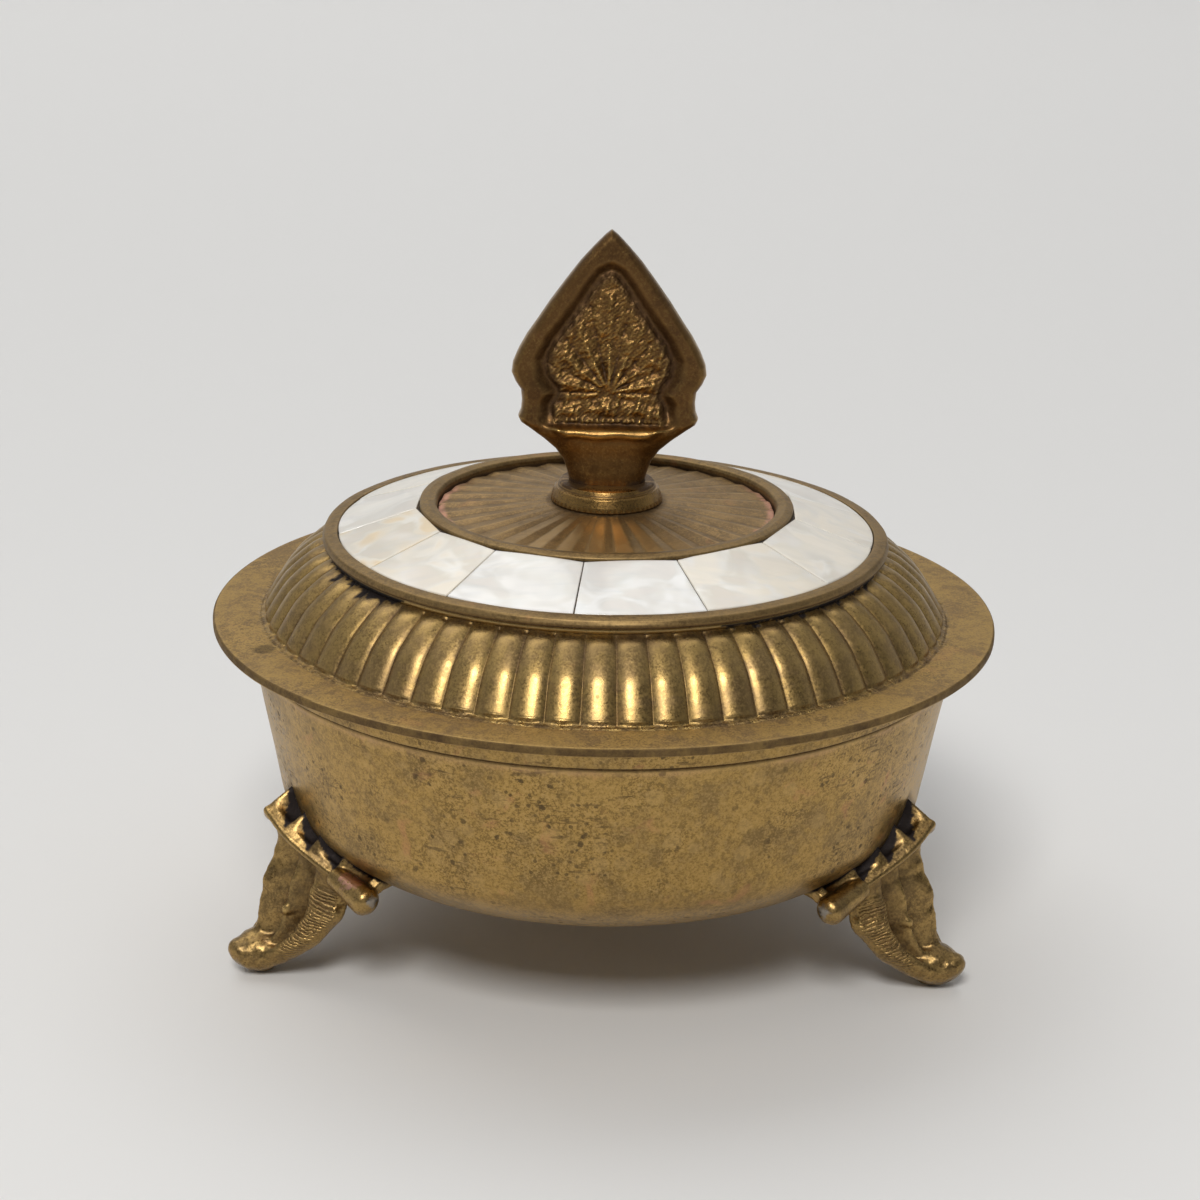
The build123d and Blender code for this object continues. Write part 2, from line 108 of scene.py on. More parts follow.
def make_piece(name, grids, keep_turn=False):
    """One mesh from grids of points in mm. Each grid is (points, rows wrap, columns wrap): every
    four neighbours become a face. Points that nearly touch are merged, which closes poles and
    seams, and faces are turned outwards, unless they keep their turn."""
    coords, quads, start = [], [], 0
    for points, wrap_rows, wrap_cols in grids:
        rows, cols = points.shape[:2]
        r = np.arange(rows if wrap_rows else rows - 1)[:, None]
        c = np.arange(cols if wrap_cols else cols - 1)[None, :]
        r2, c2 = (r + 1) % rows, (c + 1) % cols
        cell = np.stack(np.broadcast_arrays(r * cols + c, r * cols + c2, r2 * cols + c2, r2 * cols + c), -1)
        quads.append(cell.reshape(-1, 4) + start)
        coords.append(points.reshape(-1, 3))
        start += rows * cols
    coords, quads = np.concatenate(coords), np.concatenate(quads)
    mesh = bpy.data.meshes.new(name)
    mesh.vertices.add(len(coords))
    mesh.vertices.foreach_set("co", (coords * 0.001).astype(np.float32).ravel())
    mesh.loops.add(quads.size)
    mesh.loops.foreach_set("vertex_index", quads.astype(np.int32).ravel())
    mesh.polygons.add(len(quads))
    mesh.polygons.foreach_set("loop_start", np.arange(0, quads.size, 4, dtype=np.int32))
    mesh.update(calc_edges=True)
    tidy(mesh, turn=not keep_turn)
    return place(name, mesh)


def tidy(mesh, weld=0.004, turn=True):
    """Merges doubled points, turns the faces outwards and shades them smooth."""
    work = bmesh.new()
    work.from_mesh(mesh)
    bmesh.ops.remove_doubles(work, verts=work.verts, dist=weld * 0.001)
    if turn:
        bmesh.ops.recalc_face_normals(work, faces=work.faces)
    work.to_mesh(mesh)
    work.free()
    mesh.polygons.foreach_set("use_smooth", np.ones(len(mesh.polygons), bool))
    mesh.update()


def place(name, mesh):
    """The mesh's object, at the origin, unturned and unscaled."""
    obj = bpy.data.objects.new(name, mesh)
    bpy.context.scene.collection.objects.link(obj)
    return obj


def points_of(mesh):
    """The mesh's points in mm."""
    flat = np.empty(len(mesh.vertices) * 3, np.float32)
    mesh.vertices.foreach_get("co", flat)
    return flat.reshape(-1, 3).astype(float) * 1000


def normals_of(mesh):
    """The unit normals of the mesh's points."""
    flat = np.empty(len(mesh.vertices) * 3, np.float32)
    mesh.vertex_normals.foreach_get("vector", flat)
    return flat.reshape(-1, 3).astype(float)


def radius_of(points):
    """Distance from the axis."""
    return np.hypot(points[:, 0], points[:, 1])


def azimuth_of(points):
    """Degrees round the axis, from the front, -Y, towards +X."""
    return np.degrees(np.arctan2(points[:, 0], -points[:, 1]))


def set_points(mesh, points):
    """Moves the mesh's points, given in mm."""
    mesh.vertices.foreach_set("co", (points * 0.001).astype(np.float32).ravel())
    mesh.update()


def mark(mesh, key, values):
    """Keeps a value from 0 to 1 at every point, for a material to read."""
    layer = mesh.attributes.get(key) or mesh.attributes.new(key, "FLOAT", "POINT")
    layer.data.foreach_set("value", np.clip(values, 0, 1).astype(np.float32).ravel())


def marked(mesh, key):
    """The values that mark kept."""
    values = np.empty(len(mesh.vertices), np.float32)
    mesh.attributes[key].data.foreach_get("value", values)
    return values


def blurred(mesh, values, passes):
    """Each pass puts half of the mean of a point's neighbours into it."""
    ends = np.empty(len(mesh.edges) * 2, np.int32)
    mesh.edges.foreach_get("vertices", ends)
    ends = ends.reshape(-1, 2)
    count = np.bincount(ends.ravel(), minlength=len(mesh.vertices))[:, None]
    values = values.reshape(len(mesh.vertices), -1)
    for _ in range(passes):
        total = np.stack(
            [
                np.bincount(ends[:, 0], values[ends[:, 1], k], len(values))
                + np.bincount(ends[:, 1], values[ends[:, 0], k], len(values))
                for k in range(values.shape[1])
            ],
            -1,
        )
        values = 0.5 * values + 0.5 * total / np.maximum(count, 1)
    return values


def mark_relief(mesh, reach, height):
    """Marks worn edges and dirty hollows: how far each point stands out of the blurred surface."""
    points = points_of(mesh)
    stand = ((points - blurred(mesh, points, reach)) * normals_of(mesh)).sum(-1)
    stand = blurred(mesh, stand, 1)[:, 0]
    mark(mesh, "edge", stand / height)
    mark(mesh, "shade_and_dirt_mask", -stand / height)


def turned(name, profile, columns, sway):
    """A profile of (radius, z) carried round the axis, where sway(angle, radius, z) moves the
    radius. A profile that starts off the axis is a ring, and closes on itself."""
    angle = np.linspace(0, 360, columns, endpoint=False)[None, :]
    radius, z = profile[:, 0][:, None], profile[:, 1][:, None]
    points = polar(radius + sway(angle, radius, z), angle, z)
    return make_piece(name, [(points, profile[0, 0] > 0, True)])


def rounded(corners, radii, steps):
    """A line through corners, each rounded with an arc of its radius. A radius of 0 and both ends
    stay sharp."""
    corners = np.array(corners, float)
    line = []
    for k, (corner, radius) in enumerate(zip(corners, radii)):
        if radius <= 0 or k in (0, len(corners) - 1):
            line.append(corner[None])
            continue
        before, after = corners[k - 1] - corner, corners[k + 1] - corner
        b, a = before / np.linalg.norm(before), after / np.linalg.norm(after)
        half = math.acos(np.clip(b @ a, -1, 1)) / 2
        reach = min(radius / math.tan(half), 0.48 * min(np.linalg.norm(before), np.linalg.norm(after)))
        t = np.linspace(0, 1, steps + 1)[:, None]
        p, q = corner + b * reach, corner + a * reach
        line.append((1 - t) ** 2 * p + 2 * t * (1 - t) * corner + t * t * q)
    return np.concatenate(line)


def finely(line, step):
    """The line with points added so that no two neighbours are farther apart than a step."""
    line = np.asarray(line, float)
    out = []
    for a, b in zip(line[:-1], line[1:]):
        n = max(1, math.ceil(np.linalg.norm(b - a) / step))
        out.append(a + (b - a) * (np.arange(n) / n)[:, None])
    return np.concatenate([*out, line[-1:]])


# Materials

class Wire:
    """A value in a finish. Sums, products and powers of wires add Math nodes."""

    def __init__(self, finish, socket):
        self.finish, self.socket = finish, socket

    def maths(self, operation, first, second=0.0):
        return self.finish.node("ShaderNodeMath", {"operation": operation}, {0: first, 1: second})

    def __add__(self, other):
        return self.maths("ADD", self, other)

    def __sub__(self, other):
        return self.maths("SUBTRACT", self, other)

    def __rsub__(self, other):
        return self.maths("SUBTRACT", other, self)

    def __mul__(self, other):
        return self.maths("MULTIPLY", self, other)

    def __pow__(self, other):
        return self.maths("POWER", self, other)

    def least(self, other):
        return self.maths("MINIMUM", self, other)

    def most(self, other):
        return self.maths("MAXIMUM", self, other)

    def clamp(self):
        return self.least(1.0).most(0.0)

    __radd__, __rmul__ = __add__, __mul__


class Finish:
    """A material made of nodes. Lengths in it are millimetres."""

    def __init__(self, name):
        self.material = bpy.data.materials.new(name)
        self.material.use_nodes = True
        self.tree = self.material.node_tree
        self.tree.nodes.clear()
        coords = self.node("ShaderNodeTexCoord", out="Object")
        self.place = self.node("ShaderNodeVectorMath", {"operation": "SCALE"}, {0: coords, "Scale": 1000.0})

    def node(self, kind, settings=None, values=None, out=0):
        """A node with its settings, and with each input set to a value or linked to a wire."""
        made = self.tree.nodes.new(kind)
        for key, setting in (settings or {}).items():
            setattr(made, key, setting)
        for key, value in (values or {}).items():
            if isinstance(value, Wire):
                self.tree.links.new(value.socket, made.inputs[key])
            elif value is not None:
                made.inputs[key].default_value = value
        return Wire(self, made.outputs[out])

    def noise(self, size, detail=3.0, rough=0.55, warp=0.0, at=None, seed=0.0):
        """Cloudy noise whose lumps are about a size across, about 0.5 on average."""
        return self.node(
            "ShaderNodeTexNoise", {"noise_dimensions": "4D"},
            {"Vector": at or self.place, "W": seed, "Scale": 1.0 / size, "Detail": detail, "Roughness": rough,
             "Distortion": warp},
        )

    def cells(self, size):
        """Distance to scattered points that are about a size apart, from 0 at a point."""
        return self.node("ShaderNodeTexVoronoi", None, {"Vector": self.place, "Scale": 1.0 / size}, out="Distance")

    def vectors(self, operation, first, second):
        return self.node("ShaderNodeVectorMath", {"operation": operation}, {0: first, 1: second})

    def stretched(self, x, y, z, at=None):
        """Coordinates that are scaled apart, for streaks."""
        return self.vectors("MULTIPLY", at or self.place, (x, y, z))

    def step(self, value, low, high):
        """0 below low and 1 above high, smoothly; low may be the larger."""
        return self.node(
            "ShaderNodeMapRange", {"interpolation_type": "SMOOTHSTEP"},
            {"Value": value, "From Min": low, "From Max": high},
        )

    def blend(self, factor, first, second):
        """The first colour where the factor is 0, and the second where it is 1."""
        return self.node("ShaderNodeMix", {"data_type": "RGBA", "clamp_factor": True},
                         {"Factor": factor, 6: paint(first), 7: paint(second)}, out=2)

    def attribute(self, name):
        return self.node("ShaderNodeAttribute", {"attribute_name": name}, out="Fac")

    def part(self, axis):
        return self.node("ShaderNodeSeparateXYZ", None, {0: self.place}, out=axis)

    def bump(self, height, depth, under=None):
        """Relief whose height runs from 0 to 1 and is a depth in mm, on top of the relief under it."""
        return self.node("ShaderNodeBump", None, {"Height": height, "Distance": depth * 0.001, "Strength": 1.0,
                                                  "Normal": under}, out="Normal")

    def surface(self, **values):
        """The shader: values go to its sockets by name, with _ for a space."""
        named = {key.replace("_", " "): paint(value) for key, value in values.items()}
        shader = self.node("ShaderNodeBsdfPrincipled", None, named)
        output = self.tree.nodes.new("ShaderNodeOutputMaterial")
        self.tree.links.new(shader.socket, output.inputs["Surface"])
        return self.material


def paint(value):
    """A colour as the nodes want it, with its alpha."""
    return (*value, 1.0) if isinstance(value, (tuple, list)) and len(value) == 3 else value


BROWN, PIT, GRIME_AND_SHADE = (0.12, 0.068, 0.03), (0.05, 0.03, 0.014), (0.055, 0.028, 0.014)
BLUSH, COPPER_AND_WARM_HIGHLIGHT, GREY_WEAR = (0.56, 0.26, 0.13), (0.60, 0.32, 0.23), (0.30, 0.305, 0.31)
SOOT_AND_SHADOW_DARK, SOOT_AND_SHADOW_PALE = (0.006, 0.005, 0.005), (0.03, 0.02, 0.018)
LINE_PITCH = 0.62


def brass(name, gold, tarnish, seed, age, rough, mottle, pits, scratches, grime_and_shade_strength, relief, brown=BROWN, pink=0.0,
          speckle=0.55, rubbed_and_highlight=None, lined=False, scars=0.0, spots=0.0):
    """Aged brass. Gold and tarnish mix in clouds under fine specks, and dark deposits settle in the hollows; the same
    dark colour also paints shade where a piece marks it. Edges are worn bright, and the same pale colour paints
    highlights where a piece marks them. Dark pits, scars and spots, fine scratches, pink blush and orange metal that
    on the bowl is a painted highlight, engraved lines, soot that on the feet is partly painted shadow, and grey wear
    lie over it where a piece asks for them."""
    f = Finish(name)
    tint = chosen().brass_tint
    gold, tarnish = (tuple(c * t for c, t in zip(colour, tint)) for colour in (gold, tarnish))
    edge, shade_and_dirt_mask = f.attribute("edge"), f.attribute("shade_and_dirt_mask")
    clouds = f.noise(mottle, 5.0, 0.62, 0.6, seed=seed)
    fine = f.noise(mottle / 7, 4.0, 0.65, seed=seed + 3.0)
    dull = f.step(clouds * 0.65 + fine * 0.35, 0.62 - 0.3 * age, 0.74 - 0.25 * age)
    colour = f.blend(dull, gold, tarnish)
    bright = rubbed_and_highlight or tuple(min(1.0, c * 1.3) for c in gold)
    specks = f.noise(0.36, 3.0, 0.7, seed=seed + 7.0) * 0.72 + f.noise(1.3, 3.0, 0.6, 0.4, seed=seed + 9.0) * 0.28
    dusk = tuple(0.45 * t + 0.25 * b for t, b in zip(tarnish, brown))
    patches = f.step(f.noise(12.0, 2.0, seed=seed + 11.0), 0.45, 0.58)
    busy = (patches * 0.35 + 0.75) * speckle
    colour = f.blend(f.step(specks, 0.515, 0.43) * busy, colour, dusk)
    colour = f.blend(f.step(specks, 0.515, 0.60) * busy * 0.8, colour, bright)
    lines = 0.0
    if lined:
        lines = f.attribute("lines") * 40.0 + (clouds - 0.5) * 1.6
        lines = lines.maths("SINE", lines * (2 * math.pi / LINE_PITCH))
        lines = (lines * 0.5 + 0.5) ** 1.6 * f.attribute("lobe") * f.step(fine, 0.30, 0.52)
        colour = f.blend(lines * 0.8, colour, brown)
    pit = f.step(f.cells(1.7) + fine * 0.24, 0.36, 0.26) * (patches * 0.85 + 0.15) * pits
    if scars:
        scar = f.step(f.noise(1.1, 2.0, 0.5, at=f.stretched(0.3, 0.3, 1.7), seed=seed + 13.0), 0.60, 0.68)
        pit = pit.most(scar * patches * scars)
    if spots:
        spot = f.step(f.cells(3.4) + fine * 0.55, 0.44, 0.38) * spots
        pit = pit.most(spot * (patches * 0.5 + 0.5))
        pale = f.step(f.cells(6.1) + fine * 0.3, 0.42, 0.36) * spots * 0.3
        colour = f.blend(pale, colour, bright)
    colour = f.blend(pit * 0.8, colour, PIT)
    if pink:
        blush = f.step(f.noise(6.5, 3.0, 0.6, 0.8, seed=seed + 17.0), 0.60, 0.72) * pink
        colour = f.blend(blush, colour, BLUSH)
    # Darkening from the mask: real deposits in the hollows, and painted shade where a piece marks it.
    dirt_and_shade = (shade_and_dirt_mask * (0.6 + fine * 0.8)).clamp() * grime_and_shade_strength
    colour = f.blend(dirt_and_shade, colour, GRIME_AND_SHADE)
    if lined:
        colour = f.blend(f.attribute("worn") * 0.8, colour, GREY_WEAR)
    # Orange metal: real on the feet, and on the bowl a painted highlight.
    copper_and_warm_highlight = f.attribute("copper_and_warm_highlight") * f.step(fine, 0.34, 0.46)
    colour = f.blend(copper_and_warm_highlight, colour, COPPER_AND_WARM_HIGHLIGHT)
    # Soot: real residue, and on the feet partly painted shadow in the scoops.
    soot = f.attribute("soot")
    colour = f.blend(soot, colour, f.blend(fine, SOOT_AND_SHADOW_DARK, SOOT_AND_SHADOW_PALE))
    dirt_and_shade = dirt_and_shade.most(soot).clamp()
    # Pale edges: worn edges, and painted highlights where a piece marks them.
    shine = (edge * 0.85).clamp() * (1.0 - dirt_and_shade)
    colour = f.blend(shine, colour, bright)
    hairs = f.noise(0.35, 1.0, 0.5, at=f.stretched(1.0, 0.05, 1.0), seed=seed + 1.0)
    roughness = rough + dull * 0.05 + dirt_and_shade * 0.25 + pit * 0.2 - shine * 0.10 + (specks - 0.5) * 0.6
    roughness = roughness + f.attribute("matte") * 0.2
    lumps = f.bump(clouds * 0.6 + fine * 0.4, relief * 2.2)
    lumps = f.bump(f.noise(0.7, 3.0, 0.7, seed=seed + 2.0) * f.attribute("rough"), 0.45, lumps)
    if lined:
        lumps = f.bump(1.0 - lines, 0.14, lumps)
    grain = f.bump(f.noise(0.5, 3.0, 0.6, seed=seed + 5.0) - pit * 0.8 + hairs * 0.25 * scratches, relief, lumps)
    return f.surface(Base_Color=colour, Metallic=(1.0 - dirt_and_shade * 0.35 - pit * 0.3), Roughness=roughness.clamp(),
                     Normal=grain)


def pearl():
    """Mother-of-pearl: cream to white with broad clouds, fine growth lines, a silky sheen of pink and pale blue
    painted into the colour, amber patches in the warmer tiles, faint grey folds and a polished coat."""
    f = Finish("mother_of_pearl")
    seed, warmth = f.attribute("seed"), f.attribute("warmth")
    moved = f.vectors("ADD", f.place, f.node(
        "ShaderNodeCombineXYZ", None, {0: seed * 190.0, 1: seed * 310.0, 2: seed * 70.0}))
    clouds = f.noise(12.0, 2.0, 0.45, 0.8, at=moved)
    silk = f.noise(7.5, 2.0, 0.45, 0.9, at=moved)
    grown = f.noise(1.0, 2.0, 0.5, 0.5, at=f.stretched(0.12, 0.7, 0.3, moved))
    cream = (warmth * 2.4).clamp()
    colour = f.blend(cream, (0.71, 0.69, 0.645), (0.71, 0.65, 0.535))
    colour = f.blend(f.step(clouds, 0.38, 0.60) * 0.75, colour, (0.88, 0.86, 0.80))
    palest = f.blend(cream, chosen().pearl_white[:], (0.91, 0.885, 0.82))
    colour = f.blend(f.step(silk, 0.44, 0.62) * 0.75, colour, palest)
    colour = f.blend(f.step(grown, 0.46, 0.66) * 0.16, colour, (0.60, 0.63, 0.66))
    # painted sheen: faint pink and pale blue in the colour
    colour = f.blend(f.step(silk, 0.49, 0.38) * 0.16, colour, (0.82, 0.70, 0.64))
    colour = f.blend(f.step(clouds, 0.52, 0.62) * 0.10, colour, (0.66, 0.78, 0.80))
    amber = f.step(clouds * 0.5 + silk * 0.5, 0.45, 0.57)
    colour = f.blend(amber * warmth * 0.9, colour, (0.78, 0.57, 0.28))
    folds = f.noise(16.0, 1.0, 0.4, 0.8, at=moved)
    fold = f.step(folds, 0.47, 0.52) * f.step(folds, 0.60, 0.54)
    colour = f.blend(fold * 0.14, colour, (0.52, 0.52, 0.50))
    relief = f.bump(silk * 0.7 + grown * 0.3, 0.10)
    return f.surface(Base_Color=colour, Metallic=0.0, Roughness=0.30, Specular_IOR_Level=0.6,
                     Coat_Weight=0.5, Coat_Roughness=0.12, Normal=relief)


def cement():
    """Dark brown setting cement, rough, with a few pale crumbs."""
    f = Finish("setting_cement")
    lumps = f.noise(0.9, 4.0, 0.65)
    colour = f.blend(f.step(lumps, 0.42, 0.66), (0.022, 0.015, 0.010), (0.10, 0.065, 0.038))
    return f.surface(Base_Color=colour, Roughness=0.85, Normal=f.bump(lumps, 0.08))


BRASSES = {
    "bowl": dict(gold=(0.455, 0.288, 0.09), tarnish=(0.30, 0.197, 0.076), seed=0.0, age=0.55, rough=0.37, mottle=8.0,
                 pits=0.8, scratches=0.5, grime_and_shade_strength=0.75, relief=0.022, pink=0.4, speckle=0.72, scars=0.6, spots=0.95,
                 rubbed_and_highlight=(0.56, 0.375, 0.15)),
    "lid": dict(gold=(0.41, 0.27, 0.093), tarnish=(0.28, 0.185, 0.084), seed=21.0, age=0.6, rough=0.36, mottle=10.0,
                pits=0.35, scratches=0.6, grime_and_shade_strength=0.85, relief=0.022, pink=0.12, speckle=0.6,
                rubbed_and_highlight=(0.52, 0.35, 0.135)),
    "foot": dict(gold=(0.37, 0.24, 0.09), tarnish=(0.21, 0.14, 0.062), seed=42.0, age=0.6, rough=0.33, mottle=4.0,
                 pits=0.4, scratches=0.3, grime_and_shade_strength=1.0, relief=0.03, pink=0.1, speckle=0.5, lined=True,
                 rubbed_and_highlight=(0.52, 0.35, 0.13)),
    "tray": dict(gold=(0.275, 0.182, 0.077), tarnish=(0.205, 0.137, 0.063), seed=63.0, age=0.5, rough=0.50,
                 mottle=7.0, pits=0.25, scratches=0.5, grime_and_shade_strength=0.9, relief=0.02, pink=0.2, speckle=0.5,
                 rubbed_and_highlight=(0.40, 0.27, 0.115)),
    # The disc's pale colour also paints the highlight on its front facets.
    "disc": dict(gold=(0.31, 0.202, 0.088), tarnish=(0.225, 0.148, 0.07), seed=84.0, age=0.6, rough=0.48, mottle=6.0,
                 pits=0.2, scratches=0.6, grime_and_shade_strength=0.7, relief=0.012, pink=0.2, speckle=0.45,
                 rubbed_and_highlight=(0.60, 0.40, 0.17)),
    "collar": dict(gold=(0.33, 0.195, 0.064), tarnish=(0.22, 0.132, 0.049), seed=105.0, age=0.4, rough=0.29,
                   mottle=3.0, pits=0.2, scratches=0.4, grime_and_shade_strength=0.9, relief=0.02, pink=0.2, speckle=0.3),
    # The finial's brass is about half as bright as the lid's: painted shade for the dark room that its upright faces
    # reflect.
    "finial": dict(gold=(0.187, 0.098, 0.032), tarnish=(0.13, 0.067, 0.024), brown=(0.045, 0.022, 0.009), seed=126.0,
                   age=0.5, rough=0.35, mottle=6.0, pits=0.15, scratches=0.4, grime_and_shade_strength=0.95, relief=0.03, pink=0.1,
                   speckle=0.28, rubbed_and_highlight=(0.52, 0.335, 0.11)),
    "fixing": dict(gold=(0.50, 0.32, 0.115), tarnish=(0.31, 0.205, 0.085), seed=147.0, age=0.5, rough=0.36,
                   mottle=5.0, pits=0.1, scratches=0.3, grime_and_shade_strength=0.6, relief=0.02),
}
FINISHES = {}


def finish_for(kind):
    """Each finish is made once, when a piece first asks for it."""
    if kind not in FINISHES:
        others = {"pearl": pearl, "cement": cement}
        FINISHES[kind] = others[kind]() if kind in others else brass(kind + "_brass", **BRASSES[kind])
    return FINISHES[kind]


def dress(piece, kind, body, nodes):
    """Gives a piece its finish, its body and the nodes that it stands for."""
    piece.data.materials.clear()
    piece.data.materials.append(finish_for(kind))
    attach(piece, body)
    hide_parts(*nodes)


# Bowl

BASE_Z, MOUTH_Z, BAND_Z = 18.8, 54.8, 50.4
TAPER = math.tan(math.radians(10.8))
CONE = math.tan(math.radians(33.0))


def bowl_side(z):
    """Outer radius of the bowl at a height: straight wall, rounded corner, base cone."""
    z = np.asarray(z, float)
    wall = 59.3 - (MOUTH_Z - z) * TAPER
    cone = 46.0 + (z - BASE_Z) / CONE
    gap = cone - wall
    width = 5.2
    return wall - np.where(gap > width, 0, np.where(gap < -width, -gap, (width - gap) ** 2 / (4 * width)))


CREST_HALF, SCOOP, TOE_REACH, HALF_WALL = 18.4, 4.3, 66.35, 0.85


def crest_z(a):
    """Height where a foot's shelf meets the bowl, from the shelf's middle, 0, to its ends, 1."""
    return along((0, 0.12, 0.25, 0.5, 0.75, 1), (32.5, 30.8, 29.1, 26.9, 24.0, 21.0), np.clip(a, 0, 1))


def bowl_profile():
    """Outer side from the axis up to the mouth, over the lip, and down inside to the axis."""
    rise = np.concatenate([np.linspace(BASE_Z + 0.35, 36, 50), np.linspace(36.5, BAND_Z - 0.25, 22)])
    outside = np.stack([bowl_side(rise), rise], -1)
    base = finely([(0, BASE_Z + 0.5), (20, BASE_Z + 0.45), (44.6, BASE_Z), (45.9, BASE_Z)], 2.5)
    band = bowl_side(BAND_Z)
    lip = rounded([(band - 0.12, BAND_Z - 0.2), (band - 0.12, BAND_Z), (band + 0.33, BAND_Z + 0.12), (59.62, MOUTH_Z),
                   (58.0, MOUTH_Z)], (0, 0.06, 0.15, 0.25, 0.3), 4)
    fall = np.concatenate([np.linspace(MOUTH_Z - 0.4, 30, 18), np.linspace(29.4, BASE_Z + 2.2, 24)])
    inside = np.stack([bowl_side(fall - 0.4) - 1.72, fall], -1)
    floor = finely([(inside[-1, 0] - 0.9, BASE_Z + 1.72), (20, BASE_Z + 1.9), (0, BASE_Z + 1.9)], 3.0)
    return np.concatenate([base, outside, finely(lip, 0.4)[:-1], inside, floor])


def make_bowl():
    """The profile is turned and its radius sways by slow sines. A dark line is marked under the band, and the outside
    is darkened where a foot meets it. The band, under the lid's rim, gets a little painted shade, and an orange
    painted highlight runs just below it."""
    def sway(angle, radius, z):
        """The sheet was spun and knocked: slow waves under a tenth of a millimetre."""
        turn = np.radians(angle)
        wave = 0.05 * np.sin(3 * turn + z * 0.11) + 0.035 * np.sin(7 * turn - z * 0.2 + 1.0)
        wave = wave + 0.02 * np.sin(17 * turn + z * 0.5)
        return wave * smooth(BASE_Z, BASE_Z + 6, z) * smooth(MOUTH_Z, MOUTH_Z - 6, z) * smooth(10, 40, radius)

    piece = turned("bowl_body", bowl_profile(), 420, sway)
    mesh = piece.data
    points = points_of(mesh)
    height = points[:, 2]
    mark_relief(mesh, 3, 0.06)
    radius = radius_of(points)
    under_band = swell(height, BAND_Z - 0.1, 0.45) * (radius > 57.5)
    near_foot = np.zeros(len(points))
    for angle in FEET.values():
        c, s = math.cos(math.radians(angle)), math.sin(math.radians(angle))
        side, out = np.abs(points @ (-s, c, 0)), points @ (c, s, 0)
        close = swell(height, crest_z(side / CREST_HALF) - 0.2, 1.6) * smooth(20.5, 18.5, side)
        near_foot = np.maximum(near_foot, close * (out > 30))
    near_foot *= radius > bowl_side(height) - 0.8
    # painted shade: the band under the lid's rim is darkened a little, as the rim's overhang would shade it
    shaded = smooth(BAND_Z - 0.1, BAND_Z + 0.1, height) * 0.12
    shade_and_dirt_mask = np.maximum.reduce([under_band, near_foot * 0.8, shaded]) * (radius > 44)
    mark(mesh, "shade_and_dirt_mask", shade_and_dirt_mask)
    # painted highlight: an orange line just below the band
    painted_warm_highlight = swell(height, BAND_Z - 0.9, 0.9) * (0.5 + 0.5 * cast_skin(points, 14.0, 17, 2))
    mark(mesh, "copper_and_warm_highlight", painted_warm_highlight * 0.3 * (radius > 57))
    dress(piece, "bowl", "bowl", ["bowl"])


# Lid shell

PHASE = 2.35
SHOULDER = ((56.55, 56.75), (46.3, 67.7))
RIM_RADIUS, RIM_UNDER, RING_RADIUS, NECK_TOP = 65.0, 54.8, 54.75, 68.4


def shoulder(share):
    """The shoulder's valley line: a chord from the reeds' foot to their top, bowed outwards, nearly
    straight in its lower part and rounder above it."""
    (r0, z0), (r1, z1) = SHOULDER
    chord = math.hypot(r1 - r0, z1 - z0)
    low, high = np.clip((0.44 - share) / 0.44, 0, 1), np.clip((share - 0.44) / 0.56, 0, 1)
    bow = 1.3 * (1 - low ** 1.25 - high ** 2)
    return (r0 + (r1 - r0) * share + bow * (z1 - z0) / chord, z0 + (z1 - z0) * share - bow * (r1 - r0) / chord)


